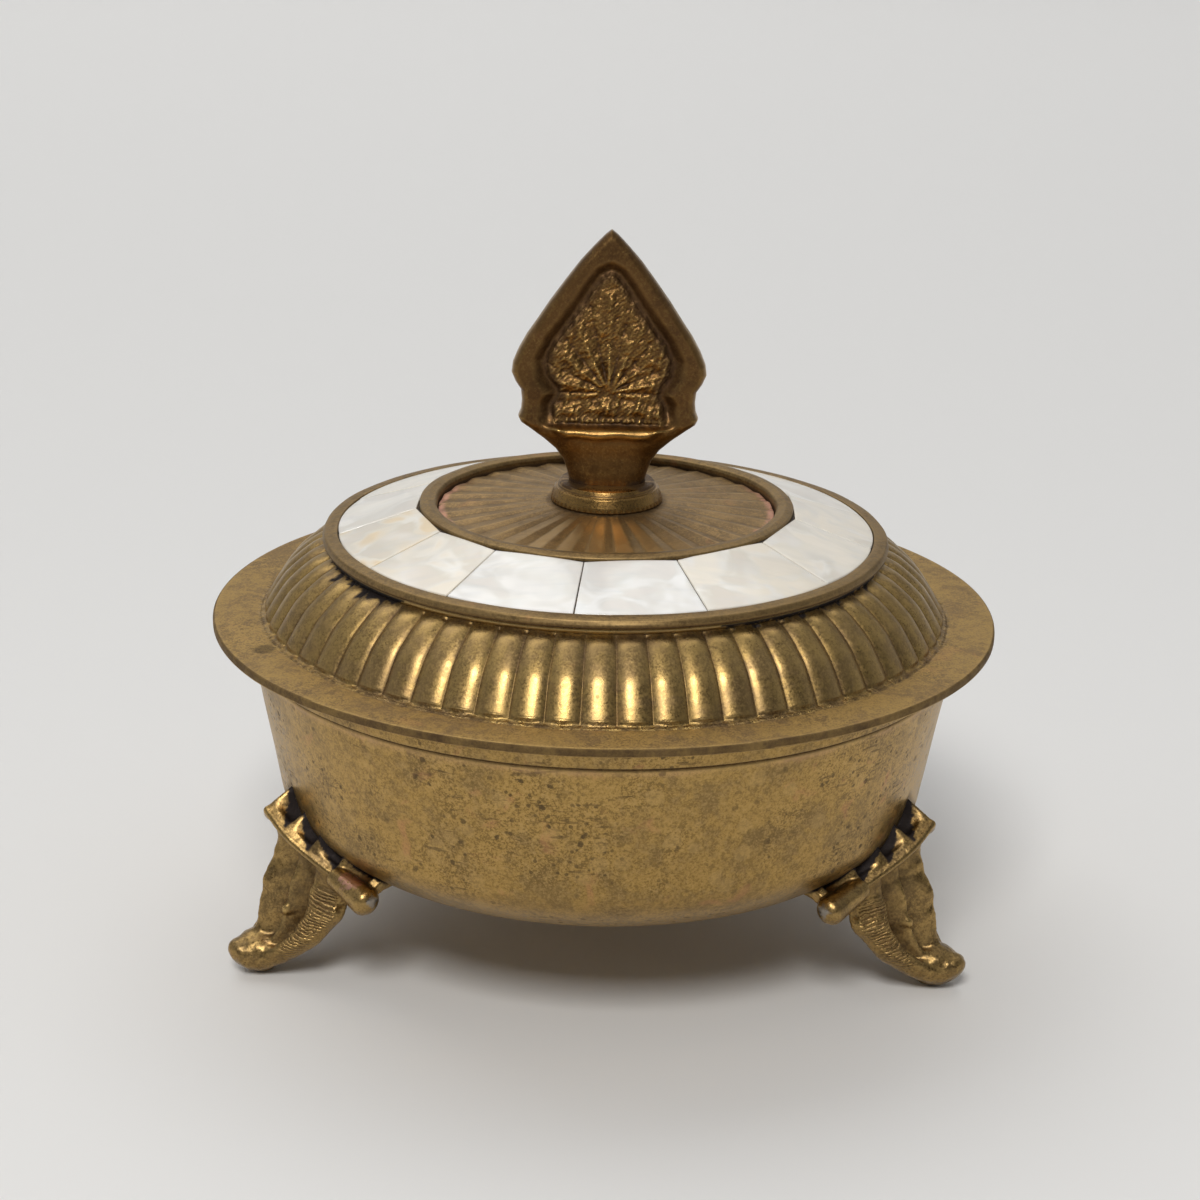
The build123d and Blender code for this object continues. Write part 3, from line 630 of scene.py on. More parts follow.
def make_lid():
    """The section runs up inside, round the rim, up the reeded shoulder and over the neck, at every
    angle. A reed stands out of the valley line by 1 - |across| ** 2.3, less at its head and toe."""
    reeds_round = chosen().reed_count
    steps = np.array([-1, -0.955, -0.86, -0.72, -0.55, -0.37, -0.18, 0, 0.18, 0.37, 0.55, 0.72, 0.86, 0.955])
    per_reed = len(steps)
    columns = reeds_round * per_reed
    across = np.tile(steps, reeds_round)
    angle = PHASE + (np.arange(columns) // per_reed + (across + 1) / 2) * 360 / reeds_round
    reed = np.arange(columns) // per_reed
    rng = np.random.default_rng(5)
    own = rng.normal(0, 1, (3, reeds_round))[:, reed]
    share = np.concatenate([[0], np.linspace(0.006, 0.06, 5), np.linspace(0.1, 0.84, 18), np.linspace(0.86, 1, 15)])
    s = share[:, None]
    valley_r, valley_z = shoulder(s)
    side_step = np.abs(across)[None, :]
    bulge = 1 - side_step ** 2.3
    head = smooth(0.80, 1.0, s)
    toe = smooth(0.035, 0.0, s)
    height = (chosen().reed_height * 1000 + 0.03 * own[0])[None, :] * (1 - 0.12 * s)
    pocket = swell(s, 0.955, 0.035) * smooth(0.72, 0.95, side_step) * smooth(-1.2, 1.0, own[2])[None, :]
    lift = height * np.clip(bulge * (1 - 0.7 * head) * (1 - 0.3 * toe), -0.12, 1) - 0.22 * pocket
    lift = lift + 0.02 * np.sin(s * 9 + own[1][None, :] * 2)
    slope = math.atan2(SHOULDER[1][1] - SHOULDER[0][1], SHOULDER[0][0] - SHOULDER[1][0])
    lean = slope + (0.5 - s) * 0.4
    out_r, out_z = np.sin(lean), np.cos(lean)
    reeds = polar(valley_r - 0.55 + lift * out_r, angle[None, :], valley_z - 0.3 + lift * out_z)
    inner = [(45.6, 65.4), (49.0, 63.0), (52.0, 60.2), (54.0, 57.4), (RING_RADIUS, 55.9), (RING_RADIUS, RIM_UNDER)]
    rim = rounded([(RING_RADIUS, RIM_UNDER), (RIM_RADIUS, RIM_UNDER), (RIM_RADIUS, RIM_TOP), (57.9, RIM_TOP),
                   (57.2, 56.02), (56.9, RIM_TOP), (56.4, 56.35)], (0.1, 0.35, 0.4, 0.1, 0.15, 0.1, 0), 4)
    rim = finely(rim, 0.66)
    neck = np.array([(46.15, 67.55), (46.12, 67.9), (46.12, NECK_TOP), (45.57, NECK_TOP)])
    low = np.concatenate([finely(inner, 1.6), rim[1:]])
    low_grid = polar(low[:, 0][:, None], angle[None, :], low[:, 1][:, None] * np.ones((1, columns)))
    outer = np.hypot(low_grid[..., 0], low_grid[..., 1])
    drift = 0.05 * np.sin(np.radians(3 * angle) + 0.6) + 0.03 * np.sin(np.radians(8 * angle))
    chased = swell(low[:, 0], 57.1, 0.8)[:, None] * cast_skin(low_grid, 2.4, 12, 2) * 0.07
    low_grid[..., 2] += np.where(low[:, 1][:, None] > 56, chased, 0)
    low_grid[..., 2] += (drift[None, :] - 0.08) * smooth(62, RIM_RADIUS, outer)
    neck_grid = polar(neck[:, 0][:, None], angle[None, :], neck[:, 1][:, None] * np.ones((1, columns)))
    grid = np.concatenate([low_grid, reeds, neck_grid])
    piece = make_piece("lid_body", [(grid, True, True)])
    mesh = piece.data
    mark_relief(mesh, 2, 0.05)
    points = points_of(mesh)
    x, y, z = points.T
    radius, az = radius_of(points), azimuth_of(points)
    valley = np.abs(((az - 90 - PHASE) / (360 / reeds_round)) % 1 - 0.5) * 2
    on_reeds = smooth(56.4, 57.2, z) * (z < 68.1)
    gully = smooth(0.90, 0.99, valley) * on_reeds * 0.6
    skin = cast_skin(points, 1.4, 19, 3)
    top = SHOULDER[1][1]
    left = smooth(-41, -45, az) * smooth(-78, -72, az)
    right = smooth(20, 26, az) * smooth(74, 66, az) * 0.75
    thick = 0.42 + 0.55 * swell(az, -51, 9) + 0.22 * skin
    residue = smooth(0.0, 0.16, z - (top - thick * (left + right))) * (left + right > 0.3)
    run = (1.25 + 0.35 * np.sin(az * 1.7)) * np.maximum(smooth(-46, -47, az) * smooth(-69, -68, az), right * 0.8)
    drip = smooth(0.0, 0.2, z - (top - run)) * smooth(0.56, 0.74, valley + 0.10 * skin) * (run > 0.2)
    soot = np.maximum(residue, drip) * (radius > 45.9) * (z < NECK_TOP) * (z > 60)
    stain = smooth(1.25, 0.75, np.hypot((x + 54.1) / 1.7, (y + 24.7) / 2.1) + 0.08 * skin)
    mark(mesh, "soot", np.maximum(soot, stain * 0.5 * (z > 55.9)))
    pocket_z = SHOULDER[0][1] + (top - SHOULDER[0][1]) * 0.955
    pocket = swell(z, pocket_z, 0.45) * smooth(0.74, 0.93, valley) * (radius > 46.2)
    band = smooth(top - 0.75, top - 0.1, z) * (z < 68.2) * 0.3
    foot_line = swell(radius, 56.95, 0.85) * (z > 55.9) * (z < 57.1)
    broken = foot_line * smooth(-0.3, 0.6, cast_skin(points, 2.2, 23, 3))
    edge_face = (radius > 64.75) * (z < 56.1) * (0.8 + 0.15 * cast_skin(points, 9.0, 35, 2))
    patchy = smooth(0.1, 1.0, cast_skin(points, 3.5, 29, 3)) * on_reeds * 0.22
    dirty = np.maximum.reduce([gully, pocket * 0.9, broken * 0.8, band, edge_face, patchy])
    mark(mesh, "shade_and_dirt_mask", dirty * (z > 54.9))
    mark(mesh, "rough", foot_line)
    mark(mesh, "matte", smooth(57.0, 57.6, radius) * (z > 54))
    dress(piece, "lid", "lid", ["lid_shell"])


# Inlay

SLOPE = math.tan(math.radians(18.1))
TILE_ANGLES = (26.4, 24.5, 23.9, 27.4, 27.0, 31.6, 26.7, 24.8, 25.2, 23.8, 25.6, 24.1, 25.3, 23.7)
TILE_WARMTH = (0.15, 0.75, 0.35, 0.05, 0.0, 0.3, 0.25, 0.3, 0.2, 0.4, 0.15, 0.3, 0.2, 0.25)


WELL_INNER, WELL_OUTER = 30.88, 44.37


def tile_top(radius):
    """Height of the tiles' upper faces at a radius: a cone that rises inwards."""
    return 70.0 + (WELL_OUTER - radius) * SLOPE


def make_tray():
    """A closed section of bezel, sloping well, bead and underside, turned round the axis."""
    bezel = rounded([(45.47, 68.45), (46.75, 68.45), (46.84, 69.0), (46.55, 69.78), (45.4, 69.98),
                     (WELL_OUTER, 70.02), (WELL_OUTER, 68.3)], (0.1, 0.2, 0.3, 0.5, 0.8, 0.2, 0.1), 5)
    well = finely([(WELL_OUTER, 68.2), (WELL_INNER, tile_top(WELL_INNER) - 1.85)], 2.5)
    bead = rounded([(WELL_INNER, 73.0), (WELL_INNER, tile_top(WELL_INNER) + 0.22), (29.6, 74.95), (28.25, 74.75),
                    (28.0, 74.2), (28.0, 72.36)], (0, 0.35, 0.9, 0.6, 0.3, 0.1), 6)
    under = [(3.02, 72.36), (3.02, 71.26), (28.5, 71.26), (31.9, 70.75), (45.47, 66.98)]
    profile = np.concatenate([finely(bezel, 0.3), well, finely(bead, 0.3), finely(under, 3.0)])

    def sway(angle, radius, z):
        """The soldered bezel and bead were filed by hand: they swing by a few hundredths."""
        turn = np.radians(angle)
        wave = 0.05 * np.sin(5 * turn) + 0.05 * np.sin(11 * turn + 2) + 0.03 * np.sin(23 * turn + 1)
        return wave * np.where(z > 68.6, 1, 0) * np.where(radius < 46.7, 1, 0) * np.where(radius > 27, 1, 0)

    piece = turned("inlay_seat", profile, 480, sway)
    mesh = piece.data
    mark_relief(mesh, 3, 0.05)
    points = points_of(mesh)
    z = points[:, 2]
    radius = radius_of(points)
    shade_and_dirt_mask = np.maximum(smooth(73.9, 73.4, z) * (radius < 28.6) * (z > 72.5),
                        smooth(46.6, 46.84, radius) * smooth(68.9, 68.55, z))
    mark(mesh, "shade_and_dirt_mask", shade_and_dirt_mask)
    dress(piece, "tray", "lid", ["inlay_tray"])


def make_cement():
    """The bed fills the well to just below the tiles' faces, and stands up between them."""
    radius = np.concatenate([np.linspace(44.31, 30.94, 60), np.linspace(30.94, 44.31, 12)])[:, None]
    angle = np.linspace(0, 360, 900, endpoint=False)[None, :]
    low = np.arange(72)[:, None] >= 60
    z = np.where(low, tile_top(radius) - 1.8, tile_top(radius) - 0.30)
    points = polar(radius, angle, z)
    points[..., 2] += np.where(low, 0, 0.05 * cast_skin(points, 1.6, 3, 2))
    points[..., 2] = np.where(low, points[..., 2], np.minimum(points[..., 2], tile_top(radius)))
    piece = make_piece("inlay_bed", [(points, True, True)])
    dress(piece, "cement", "lid", ["inlay_cement"])


JOINT_HALF, DEGREES = 0.105, 57.3


def make_tiles():
    """Each tile is a slab between two joints: its inner side is nearly straight, its outer side
    nearly follows the bezel, its upper edges are eased, and it lies a little askew."""
    rng = np.random.default_rng(11)
    start = -198.2
    for number, (width, warmth) in enumerate(zip(TILE_ANGLES, TILE_WARMTH), 1):
        u = np.concatenate([[-1, -0.99], np.linspace(-0.97, 0.97, 25), [0.99, 1]])[None, :]
        v = np.concatenate([[0, 0.008], np.linspace(0.03, 0.97, 17), [0.992, 1]])[:, None]
        half = width / 2
        gap = JOINT_HALF / (30.9 + v * 13.4) * DEGREES
        angle = start + half + u * (half - gap) + rng.normal(0, 0.1) * (0.5 - v)
        chord = 31.35 * math.cos(math.radians(half)) / np.cos(np.radians(u * half))
        inner = 0.75 * chord + 0.25 * 31.0 + 0.24
        outer = 44.27 - 0.28 * np.clip(np.abs(u) ** 2, 0, 1) * rng.uniform(0.2, 1.0)
        radius = inner + (outer - inner) * v
        ease = np.clip(np.minimum((1 - np.abs(u)) / 0.03, np.minimum(v, 1 - v) / 0.03), 0, 1)
        tilt = rng.normal(0, 0.035) * u + rng.normal(0, 0.03) * (v - 0.5)
        z = tile_top(radius) - 0.10 + 0.07 * np.sqrt(ease * (2 - ease)) + tilt * 0.7
        top = polar(radius, angle, z)
        low = top.copy()
        low[..., 2] = tile_top(radius) - 1.25
        grid = np.concatenate([low[:1], top, low[-1:]])
        side = [np.stack([top[:, k], low[:, k]]) for k in (0, -1)]
        name = f"pearl_tile_{number:02d}"
        piece = make_piece(name + "_shell", [(grid, False, False), (low[::-1], False, False)]
                           + [(s, False, False) for s in side])
        count = len(piece.data.vertices)
        mark(piece.data, "seed", np.full(count, rng.uniform()))
        mark(piece.data, "warmth", np.full(count, warmth))
        dress(piece, "pearl", "lid", [name])
        start += width


def make_disc():
    """A shallow crown folded into rays: ridges and creases that sharpen towards the edge."""
    rays, crease = chosen().ray_count, 3.6 - 90
    per_ray = 18
    columns = rays * per_ray
    angle = crease + np.arange(columns) * 360 / columns
    t = ((np.arange(columns) % per_ray) / per_ray)[None, :]
    fold = np.where(t < 0.62, t / 0.62, (1 - t) / 0.38)
    fold = fold ** 0.9
    radius = np.concatenate([[3.02], np.linspace(6, 27.4, 46), [27.6, 27.74]])[:, None]
    crown = 75.06 - 1.55 * ((radius - 8) / 20).clip(0, 1) ** 1.25
    depth = 0.28 * smooth(8.5, 22, radius) + 0.05
    top = polar(radius, angle[None, :], crown - depth * (1 - fold))
    top[..., 2] += 0.02 * cast_skin(top, 5.0, 8, 2)
    low = polar(radius[::-1], angle[None, :], (crown[::-1] - 1.0) * np.ones((1, columns)))
    low[..., 2] = np.where(radius[::-1] > 27, 72.4, low[..., 2])
    piece = make_piece("sunburst", [(np.concatenate([top, low]), True, True)])
    mesh = piece.data
    mark_relief(mesh, 3, 0.03)
    points = points_of(mesh)
    z = points[:, 2]
    far, az = radius_of(points), azimuth_of(points)
    turn = ((az - 3.6) * rays / 360) % 1
    groove = smooth(0.09, 0.0, np.minimum(turn, 1 - turn)) * smooth(9, 14, far) * 0.35
    skirt = smooth(27.2, 27.7, far) * 0.8 + swell(far, 9.5, 0.8) * 0.8
    sides = smooth(30, 50, np.abs(az)) * smooth(130, 100, np.abs(az))
    facet = smooth(0.02, 0.1, turn) * smooth(0.62, 0.5, turn)
    # painted highlight: facets facing the front are lightened, most near the front, and kept with the ridges' wear in
    # the edge mark
    lit = smooth(48, 12, np.abs(az + 3)) * smooth(10, 15, far) * (0.4 + 0.6 * facet)
    ridge = swell(turn, 0.62, 0.07) * smooth(12, 18, far) * 0.45
    mark(mesh, "edge", np.maximum(lit, ridge) * (z > 72.8))
    mark(mesh, "copper_and_warm_highlight", smooth(26.5, 27.1, far + 0.25 * cast_skin(points, 3.0, 41, 2)) * sides * 0.8)
    mark(mesh, "shade_and_dirt_mask", np.maximum(groove, skirt) * (z > 72.8))
    dress(piece, "disc", "lid", ["sunburst_disc"])


def make_collar():
    """A turned ring: a plain band with a nicked lower edge, a step, and a smaller rounded top."""
    line = rounded([(3.02, 75.08), (9.15, 75.08), (9.28, 75.3), (9.1, 76.0), (8.65, 77.25), (8.4, 77.5), (8.12, 77.5),
                    (8.02, 77.75), (7.75, 78.36), (7.3, 78.44), (3.02, 78.44)],
                   (0, 0.1, 0.15, 0.4, 0.2, 0.06, 0.05, 0.1, 0.25, 0.2, 0), 5)
    line = np.concatenate([line[:1], finely(line[1:-1], 0.25), line[-1:]])
    nicks = 58

    def sway(angle, radius, z):
        """Nicks run round the lower edge as a cosine, and the whole ring leans by 0.02 mm."""
        wave = 0.5 + 0.5 * np.cos(np.radians(angle) * nicks)
        return -0.09 * wave * (radius > 8.9) * smooth(75.9, 75.2, z) + 0.02 * np.sin(np.radians(angle) * 3)

    piece = turned("finial_seat", line, 480, sway)
    mesh = piece.data
    mark_relief(mesh, 2, 0.03)
    points = points_of(mesh)
    x, y, z = points.T
    far = radius_of(points)
    neck = np.maximum(np.abs(x) / 6.9, np.abs(y) / 4.9)
    flux = smooth(1.22, 1.02, neck + 0.10 * cast_skin(points, 2.0, 4, 2)) * (z > 78.0)
    mark(mesh, "shade_and_dirt_mask", np.maximum.reduce([flux, swell(z, 77.7, 0.18) * (far > 8.0),
                                            smooth(75.5, 75.15, z) * (far > 8.9)]))
    dress(piece, "collar", "lid", ["finial_collar"])


# Cast pieces

def fused(name, grids, cell):
    """Closed forms joined into one skin on a fine lattice, then eased."""
    source = make_piece(name + "_rough", grids)
    modifier = source.modifiers.new("fuse", "REMESH")
    modifier.mode, modifier.voxel_size = "VOXEL", cell * 0.001
    graph = bpy.context.evaluated_depsgraph_get()
    mesh = bpy.data.meshes.new_from_object(source.evaluated_get(graph))
    bpy.data.objects.remove(source)
    mesh.name = name
    set_points(mesh, blurred(mesh, points_of(mesh), 2))
    tidy(mesh, 0.0001, False)
    return mesh


FINIAL_SIDE = (
    (6.1, 77.4), (6.25, 78.6), (6.6, 80.0), (7.3, 82.0), (8.6, 83.8), (10.6, 85.5), (12.8, 87.2), (14.3, 88.3),
    (14.75, 89.2), (14.3, 90.3), (14.15, 92.0), (14.35, 93.8), (15.3, 95.2), (15.9, 96.6), (15.7, 98.2),
    (14.75, 100.5), (13.5, 102.8), (12.0, 105.0), (9.8, 108.4), (7.3, 111.9), (5.0, 115.0), (2.9, 117.4),
    (1.0, 119.4), (0.0, 120.2),
)


def finial_half_width(z):
    """Half the plate's width at a height, read straight between the outline's points."""
    side = np.array(FINIAL_SIDE)
    return np.interp(z, side[:, 1], side[:, 0])


def distance_to(line, x, z):
    """Distance in the XZ plane from points to a line of short stretches, as whole arrays."""
    a, b = line[:-1], line[1:]
    run = b - a
    px, pz = x[..., None] - a[:, 0], z[..., None] - a[:, 1]
    t = np.clip((px * run[:, 0] + pz * run[:, 1]) / np.maximum((run ** 2).sum(1), 1e-9), 0, 1)
    return np.hypot(px - t * run[:, 0], pz - t * run[:, 1]).min(-1)


PANEL_SIDE = ((0.0, 88.2), (8.6, 88.3), (9.3, 89.6), (9.2, 91.2), (8.2, 92.9), (8.3, 94.2), (9.9, 96.4), (10.3, 98.6),
              (8.9, 101.6), (7.0, 104.2), (4.9, 107.2), (2.6, 110.8), (1.2, 112.6), (0.0, 113.2))


def panel_half_width(z):
    """Half the sunk panel's width at a height, read in the same way."""
    return np.interp(z, *np.array(PANEL_SIDE[1:])[:, ::-1].T)


def make_finial():
    """The plate is a grid across its width and up its height on both faces. Its thickness falls to
    the edge, a panel is sunk inside an even border, and a fan of leaves over a roll stands in it."""
    side = np.array(FINIAL_SIDE)
    z = np.concatenate([np.linspace(77.4, 87.0, 40), np.linspace(87.1, 119.6, 210), np.linspace(119.7, 120.2, 6)])
    u = np.linspace(-1, 1, 171)
    u = 0.3 * np.sin(u * math.pi / 2) + 0.7 * u
    width = finial_half_width(z)[:, None]
    x = width * u[None, :]
    height = z[:, None] * np.ones_like(x)
    outline = np.concatenate([side, side[::-1] * (-1, 1)])
    rim = distance_to(outline, x, height)
    base = along((77.4, 80, 83, 86, 88.0, 89.5, 95, 105, 115, 120.3),
                 (4.0, 3.8, 3.5, 3.6, 3.55, 2.95, 2.75, 2.6, 2.2, 1.6), z)[:, None]
    aside = smooth(8.0, 12.0, np.abs(x)) * smooth(86.0, 87.6, height)
    base = base * (1 - aside) + np.minimum(base, 2.8) * aside
    ease = np.sqrt(np.clip(1 - (1 - np.clip(rim / 1.1, 0, 1)) ** 2, 0, 1))
    neck_round = np.sqrt(np.clip(1 - np.abs(u)[None, :] ** 3.2, 0, 1))
    plate = 0.45 + (base - 0.45) * ease - 0.25 * smooth(0.8, 4.5, rim)
    neck = base * neck_round
    on_plate = smooth(85.2, 88.6, height)
    face = neck * (1 - on_plate) + plate * on_plate
    panel_line = np.array(PANEL_SIDE)
    panel_line = np.concatenate([panel_line, panel_line[::-1] * (-1, 1)])
    inside = np.abs(x) < panel_half_width(height)
    inside &= (height > 88.2) & (height < 113.2)
    edge_gap = distance_to(panel_line, x, height) * np.where(inside, 1, -1)
    sunk = smooth(-2.6, -0.3, edge_gap) ** 1.3 * smooth(87.6, 88.5, height)
    where = np.stack([x, 0 * x, height], -1)
    island = smooth(-0.8, 1.0, edge_gap + 0.28 * cast_skin(where, 2.6, 33, 2))
    dx, dz = x, height - 93.6
    reach, turn = np.hypot(dx, dz), np.degrees(np.arctan2(dx, dz))
    blade = np.abs(np.cos(np.radians(turn * 180 / 26.0))) ** 0.7
    fan = (blade - 0.4) * smooth(0.6, 3.0, reach) * smooth(92.2, 93.6, height + 0.05 * np.abs(dx))
    vein = smooth(0.16, 0.0, np.abs(((turn + 13) / 26.0) % 1 - 0.5)) * smooth(1.0, 3.0, reach) * (height > 93.2)
    roll = swell(height, 91.0 - 0.012 * dx ** 2, 1.9) * smooth(9.6, 8.4, np.abs(x))
    beads = swell(height, 88.95, 0.55) * (0.5 + 0.5 * np.cos(x * 2 * math.pi / 0.85)) * smooth(7.4, 6.6, np.abs(x))
    rough = cast_skin(where, 3.0, 31, 3) * 0.30 + cast_skin(where, 0.9, 32, 2) * 0.11
    floor = -1.45 + island * (0.55 + 0.55 * fan + 0.16 * vein + 0.6 * roll + 0.3 * beads + rough)
    ledge_z = 87.0 + 2.2 * smooth(6.4, 10.4, np.abs(x))
    ledge_z = ledge_z + 0.12 * np.sin(x * 0.9)
    ledge = swell(height, ledge_z, 1.35) * smooth(11.2, 8.8, np.abs(x)) * 0.6
    face = face + sunk * floor + ledge
    front = np.stack([x, -face, height], -1)
    back = np.stack([x, face, height], -1)
    loop = np.concatenate([front, back[:, ::-1]], 1)
    shank = polar(np.array([0, 2.9, 2.9, 0])[:, None], np.linspace(0, 360, 48, endpoint=False)[None, :],
                  np.array([64.56, 64.56, 79.0, 79.0])[:, None])
    low = np.concatenate([loop[:1] * (0, 0, 1), loop])
    piece = make_piece("finial_casting", [(low, False, True), (shank, False, True)])
    mesh = piece.data
    mark_relief(mesh, 4, 0.08)
    points = points_of(mesh)
    shade_and_dirt_mask = marked(mesh, "shade_and_dirt_mask")
    gap = distance_to(panel_line, points[:, 0], points[:, 2])
    faces = np.abs(normals_of(mesh)[:, 1]) > 0.2
    trench = swell(gap, 0.0, 1.9) * smooth(88.2, 89.8, points[:, 2]) * 0.7 * faces
    within = np.abs(points[:, 0]) < panel_half_width(points[:, 2]) - 0.2
    mark(mesh, "rough", within * smooth(88.3, 88.9, points[:, 2]) * smooth(113.2, 112.6, points[:, 2]) * 0.4)
    soot = smooth(79.3, 78.5, points[:, 2] + 0.4 * cast_skin(points, 1.5, 6, 2))
    soot = soot * smooth(1.5, 5.0, np.abs(points[:, 0]))
    # painted shade: the border's faces are darkened
    border = faces * (1 - within) * smooth(86.0, 90.0, points[:, 2]) * 0.3
    mark(mesh, "shade_and_dirt_mask", np.maximum.reduce([shade_and_dirt_mask, trench, soot, border]))
    dress(piece, "finial", "lid", ["finial"])


# Feet

RAIL = ((0, 60.0, 29.1), (0.25, 58.2, 26.0), (0.5, 55.3, 23.2), (0.75, 52.0, 20.9), (1.0, 49.0, 19.4))


def rail_point(a):
    """How far out and how high the rail runs, from its middle, 0, to its ends, 1."""
    stations, out, z = np.array(RAIL).T
    return along(stations, out, a), along(stations, z, a)


def wing_form():
    """The scalloped shelf: sections from one bar end to the other, each from the bowl out to the
    rail and back under it. Four scoops a side are cut in the shelf like spoons, with thin fins
    between them, and a plain margin is left outside them."""
    q = np.concatenate([[-0.985], np.linspace(-0.98, 0.98, 301), [0.985]])
    a = np.abs(q)
    side = q * CREST_HALF
    out, rail_z = rail_point(np.clip(a, 0, 1))
    top_z = crest_z(a)
    p = np.linspace(0, 1, 26)[None, :]
    phase = np.where(a < 0.965, (a * CREST_HALF / SCOOP) % 1, 0)
    phase = np.clip((phase - 0.08) / 0.84, 0, 1)
    cup = np.clip(1 - np.abs(2 * phase ** 1.5 - 1) ** 3.0, 0, 1) ** 0.8 * smooth(0.985, 0.955, a)
    spoon = (0.05 + 0.95 * (1 - p)) * smooth(0.90, 0.60, p)
    depth = (3.1 - 0.8 * a)[:, None] * cup[:, None] * spoon
    floor_z = top_z - depth[:, 0]
    contact = np.sqrt(np.maximum(bowl_side(floor_z) ** 2 - side ** 2, 100)) - 0.9
    n = contact[:, None] + (out - 0.95 - contact)[:, None] * p
    shelf = np.stack([n, top_z[:, None] + (rail_z - top_z)[:, None] * p - depth], -1)
    lip = np.array([(0.5, -0.12), (0.18, -0.36), (0.02, -0.75), (0.1, -1.15), (0.5, -1.6), (1.2, -2.0), (2.2, -2.4)])
    nose = np.stack([out[:, None] - lip[:, 0], rail_z[:, None] + lip[:, 1] * (1 - 0.25 * a[:, None])], -1)
    under_z = np.minimum(floor_z - 2.6 + 1.8 * smooth(0.5, 1.0, a), rail_z - 0.6 + 2.0 * smooth(0.8, 1.0, a))
    under_n = np.sqrt(np.maximum(bowl_side(under_z) ** 2 - side ** 2, 100)) - 0.9
    mid_z = (rail_z - 3.4 + under_z) / 2 - 0.9 * (1 - a)
    under = np.stack([np.stack([(out + under_n) / 2 + 0.2, mid_z], -1), np.stack([under_n, under_z], -1)], 1)
    section = np.concatenate([shelf, nose, under], 1)
    close = np.where(np.abs(q) > 0.982, 0.0, 1.0)[:, None, None]
    centre = section.mean(1, keepdims=True)
    section = centre + (section - centre) * close
    return np.stack([section[..., 0], np.broadcast_to(side[:, None], section.shape[:2]), section[..., 1]], -1)


LEG = (
    # share of the way down, midrib out, height, half width, edges back, thickness, facing up, edges up
    (0.00, 58.6, 27.9, 8.6, 3.6, 7.4, 0, -5.5), (0.14, 56.6, 23.9, 10.2, 4.2, 6.8, 0, -2.2),
    (0.28, 56.9, 20.2, 10.8, 6.0, 6.0, 2, -1.9), (0.40, 58.2, 17.2, 11.1, 6.9, 5.6, 4, -0.9),
    (0.52, 58.9, 13.8, 11.0, 7.0, 5.2, 6, 0.2), (0.64, 59.5, 10.4, 10.6, 6.2, 5.0, 12, 1.6),
    (0.76, 60.5, 7.6, 8.8, 4.6, 5.0, 26, 2.2), (0.87, 62.0, 5.4, 5.8, 2.6, 4.6, 44, 1.5),
    (1.00, 63.8, 3.8, 3.5, 1.0, 3.8, 60, 0.6),
)


def leg_form():
    """The leaf: closed sections down the leg. Across, a midrib, a valley, a rib, a valley and a lobe
    stand in its face; its edges are swept back and thin out; the last section closes on the toe."""
    table = np.array(LEG)
    v = np.linspace(0, 1, 150)
    out, z, half, swept, thick, tilt, rise = (along(table[:, 0], table[:, k], v)[:, None] for k in range(1, 8))
    turn = np.linspace(0, 2 * math.pi, 181)[:-1][None, :]
    a = np.cos(turn)
    a = np.sign(a) * np.abs(a) ** 0.85
    w = np.abs(a)
    front = np.sin(turn) > 0
    full = np.abs(np.sin(turn)) ** 0.6
    ribs = along((0, 0.12, 0.27, 0.40, 0.54, 0.70, 0.86, 1.0), (1.4, 0.9, -1.2, 0.5, -1.9, 0.7, 0.9, -0.3), w)
    strength = along((0, 0.15, 0.3, 0.6, 0.8, 0.92, 1), (0.5, 0.8, 1.0, 1.15, 0.8, 0.25, 0), v)[:, None]
    bumps = 0.12 * (np.sin(v * 33) + 0.4 * np.sin(v * 57 + 1))[:, None] * smooth(0.2, 0.05, w)
    bumps = bumps * smooth(0.15, 0.3, v)[:, None]
    push = np.where(front, (ribs + bumps) * strength * full, -thick * full) - swept * w ** 1.35
    scallop = 1 + 0.04 * np.sin(v * 26)[:, None] * smooth(0.3, 0.5, v)[:, None] * smooth(0.85, 0.7, v)[:, None]
    up = np.radians(tilt)
    grid = np.stack([out + push * np.cos(up), half * scallop * a, z + push * np.sin(up) + rise * w ** 1.5], -1)
    return np.concatenate([grid[:1].mean(1, keepdims=True) * np.ones((1, 180, 1)), grid,
                           grid[-1:].mean(1, keepdims=True) * np.ones((1, 180, 1))])


def ball_form(centre, radii, turn=0.0):
    """An ellipsoid, pitched about the foot's cross axis."""
    lat = np.linspace(-math.pi / 2, math.pi / 2, 33)[:, None]
    lon = np.linspace(0, 2 * math.pi, 64, endpoint=False)[None, :]
    x, y, z = radii[0] * np.cos(lat) * np.cos(lon), radii[1] * np.cos(lat) * np.sin(lon), radii[2] * np.sin(lat)
    c, s = math.cos(math.radians(turn)), math.sin(math.radians(turn))
    z = z * np.ones_like(x)
    return np.stack([centre[0] + c * x - s * z, centre[1] + y, centre[2] + s * x + c * z], -1)


def bar_form(start, end, radius):
    """A bar that widens towards its domed end, for the closing of the rail."""
    start, end = np.array(start, float), np.array(end, float)
    axis = end - start
    length = np.linalg.norm(axis)
    axis /= length
    cross = np.cross(axis, (0, 0, 1.0))
    cross /= np.linalg.norm(cross)
    third = np.cross(axis, cross)
    dome = np.radians(np.linspace(0, 90, 10))
    run = np.concatenate([[0, 0], length - radius * 0.8 + radius * 0.8 * np.sin(dome)])
    r = np.concatenate([[0, 0.75], np.cos(dome)]) * radius
    turn = np.linspace(0, 2 * math.pi, 40, endpoint=False)
    ring = np.cos(turn)[:, None] * cross + np.sin(turn)[:, None] * third
    return start + run[:, None, None] * axis + r[:, None, None] * ring[None]


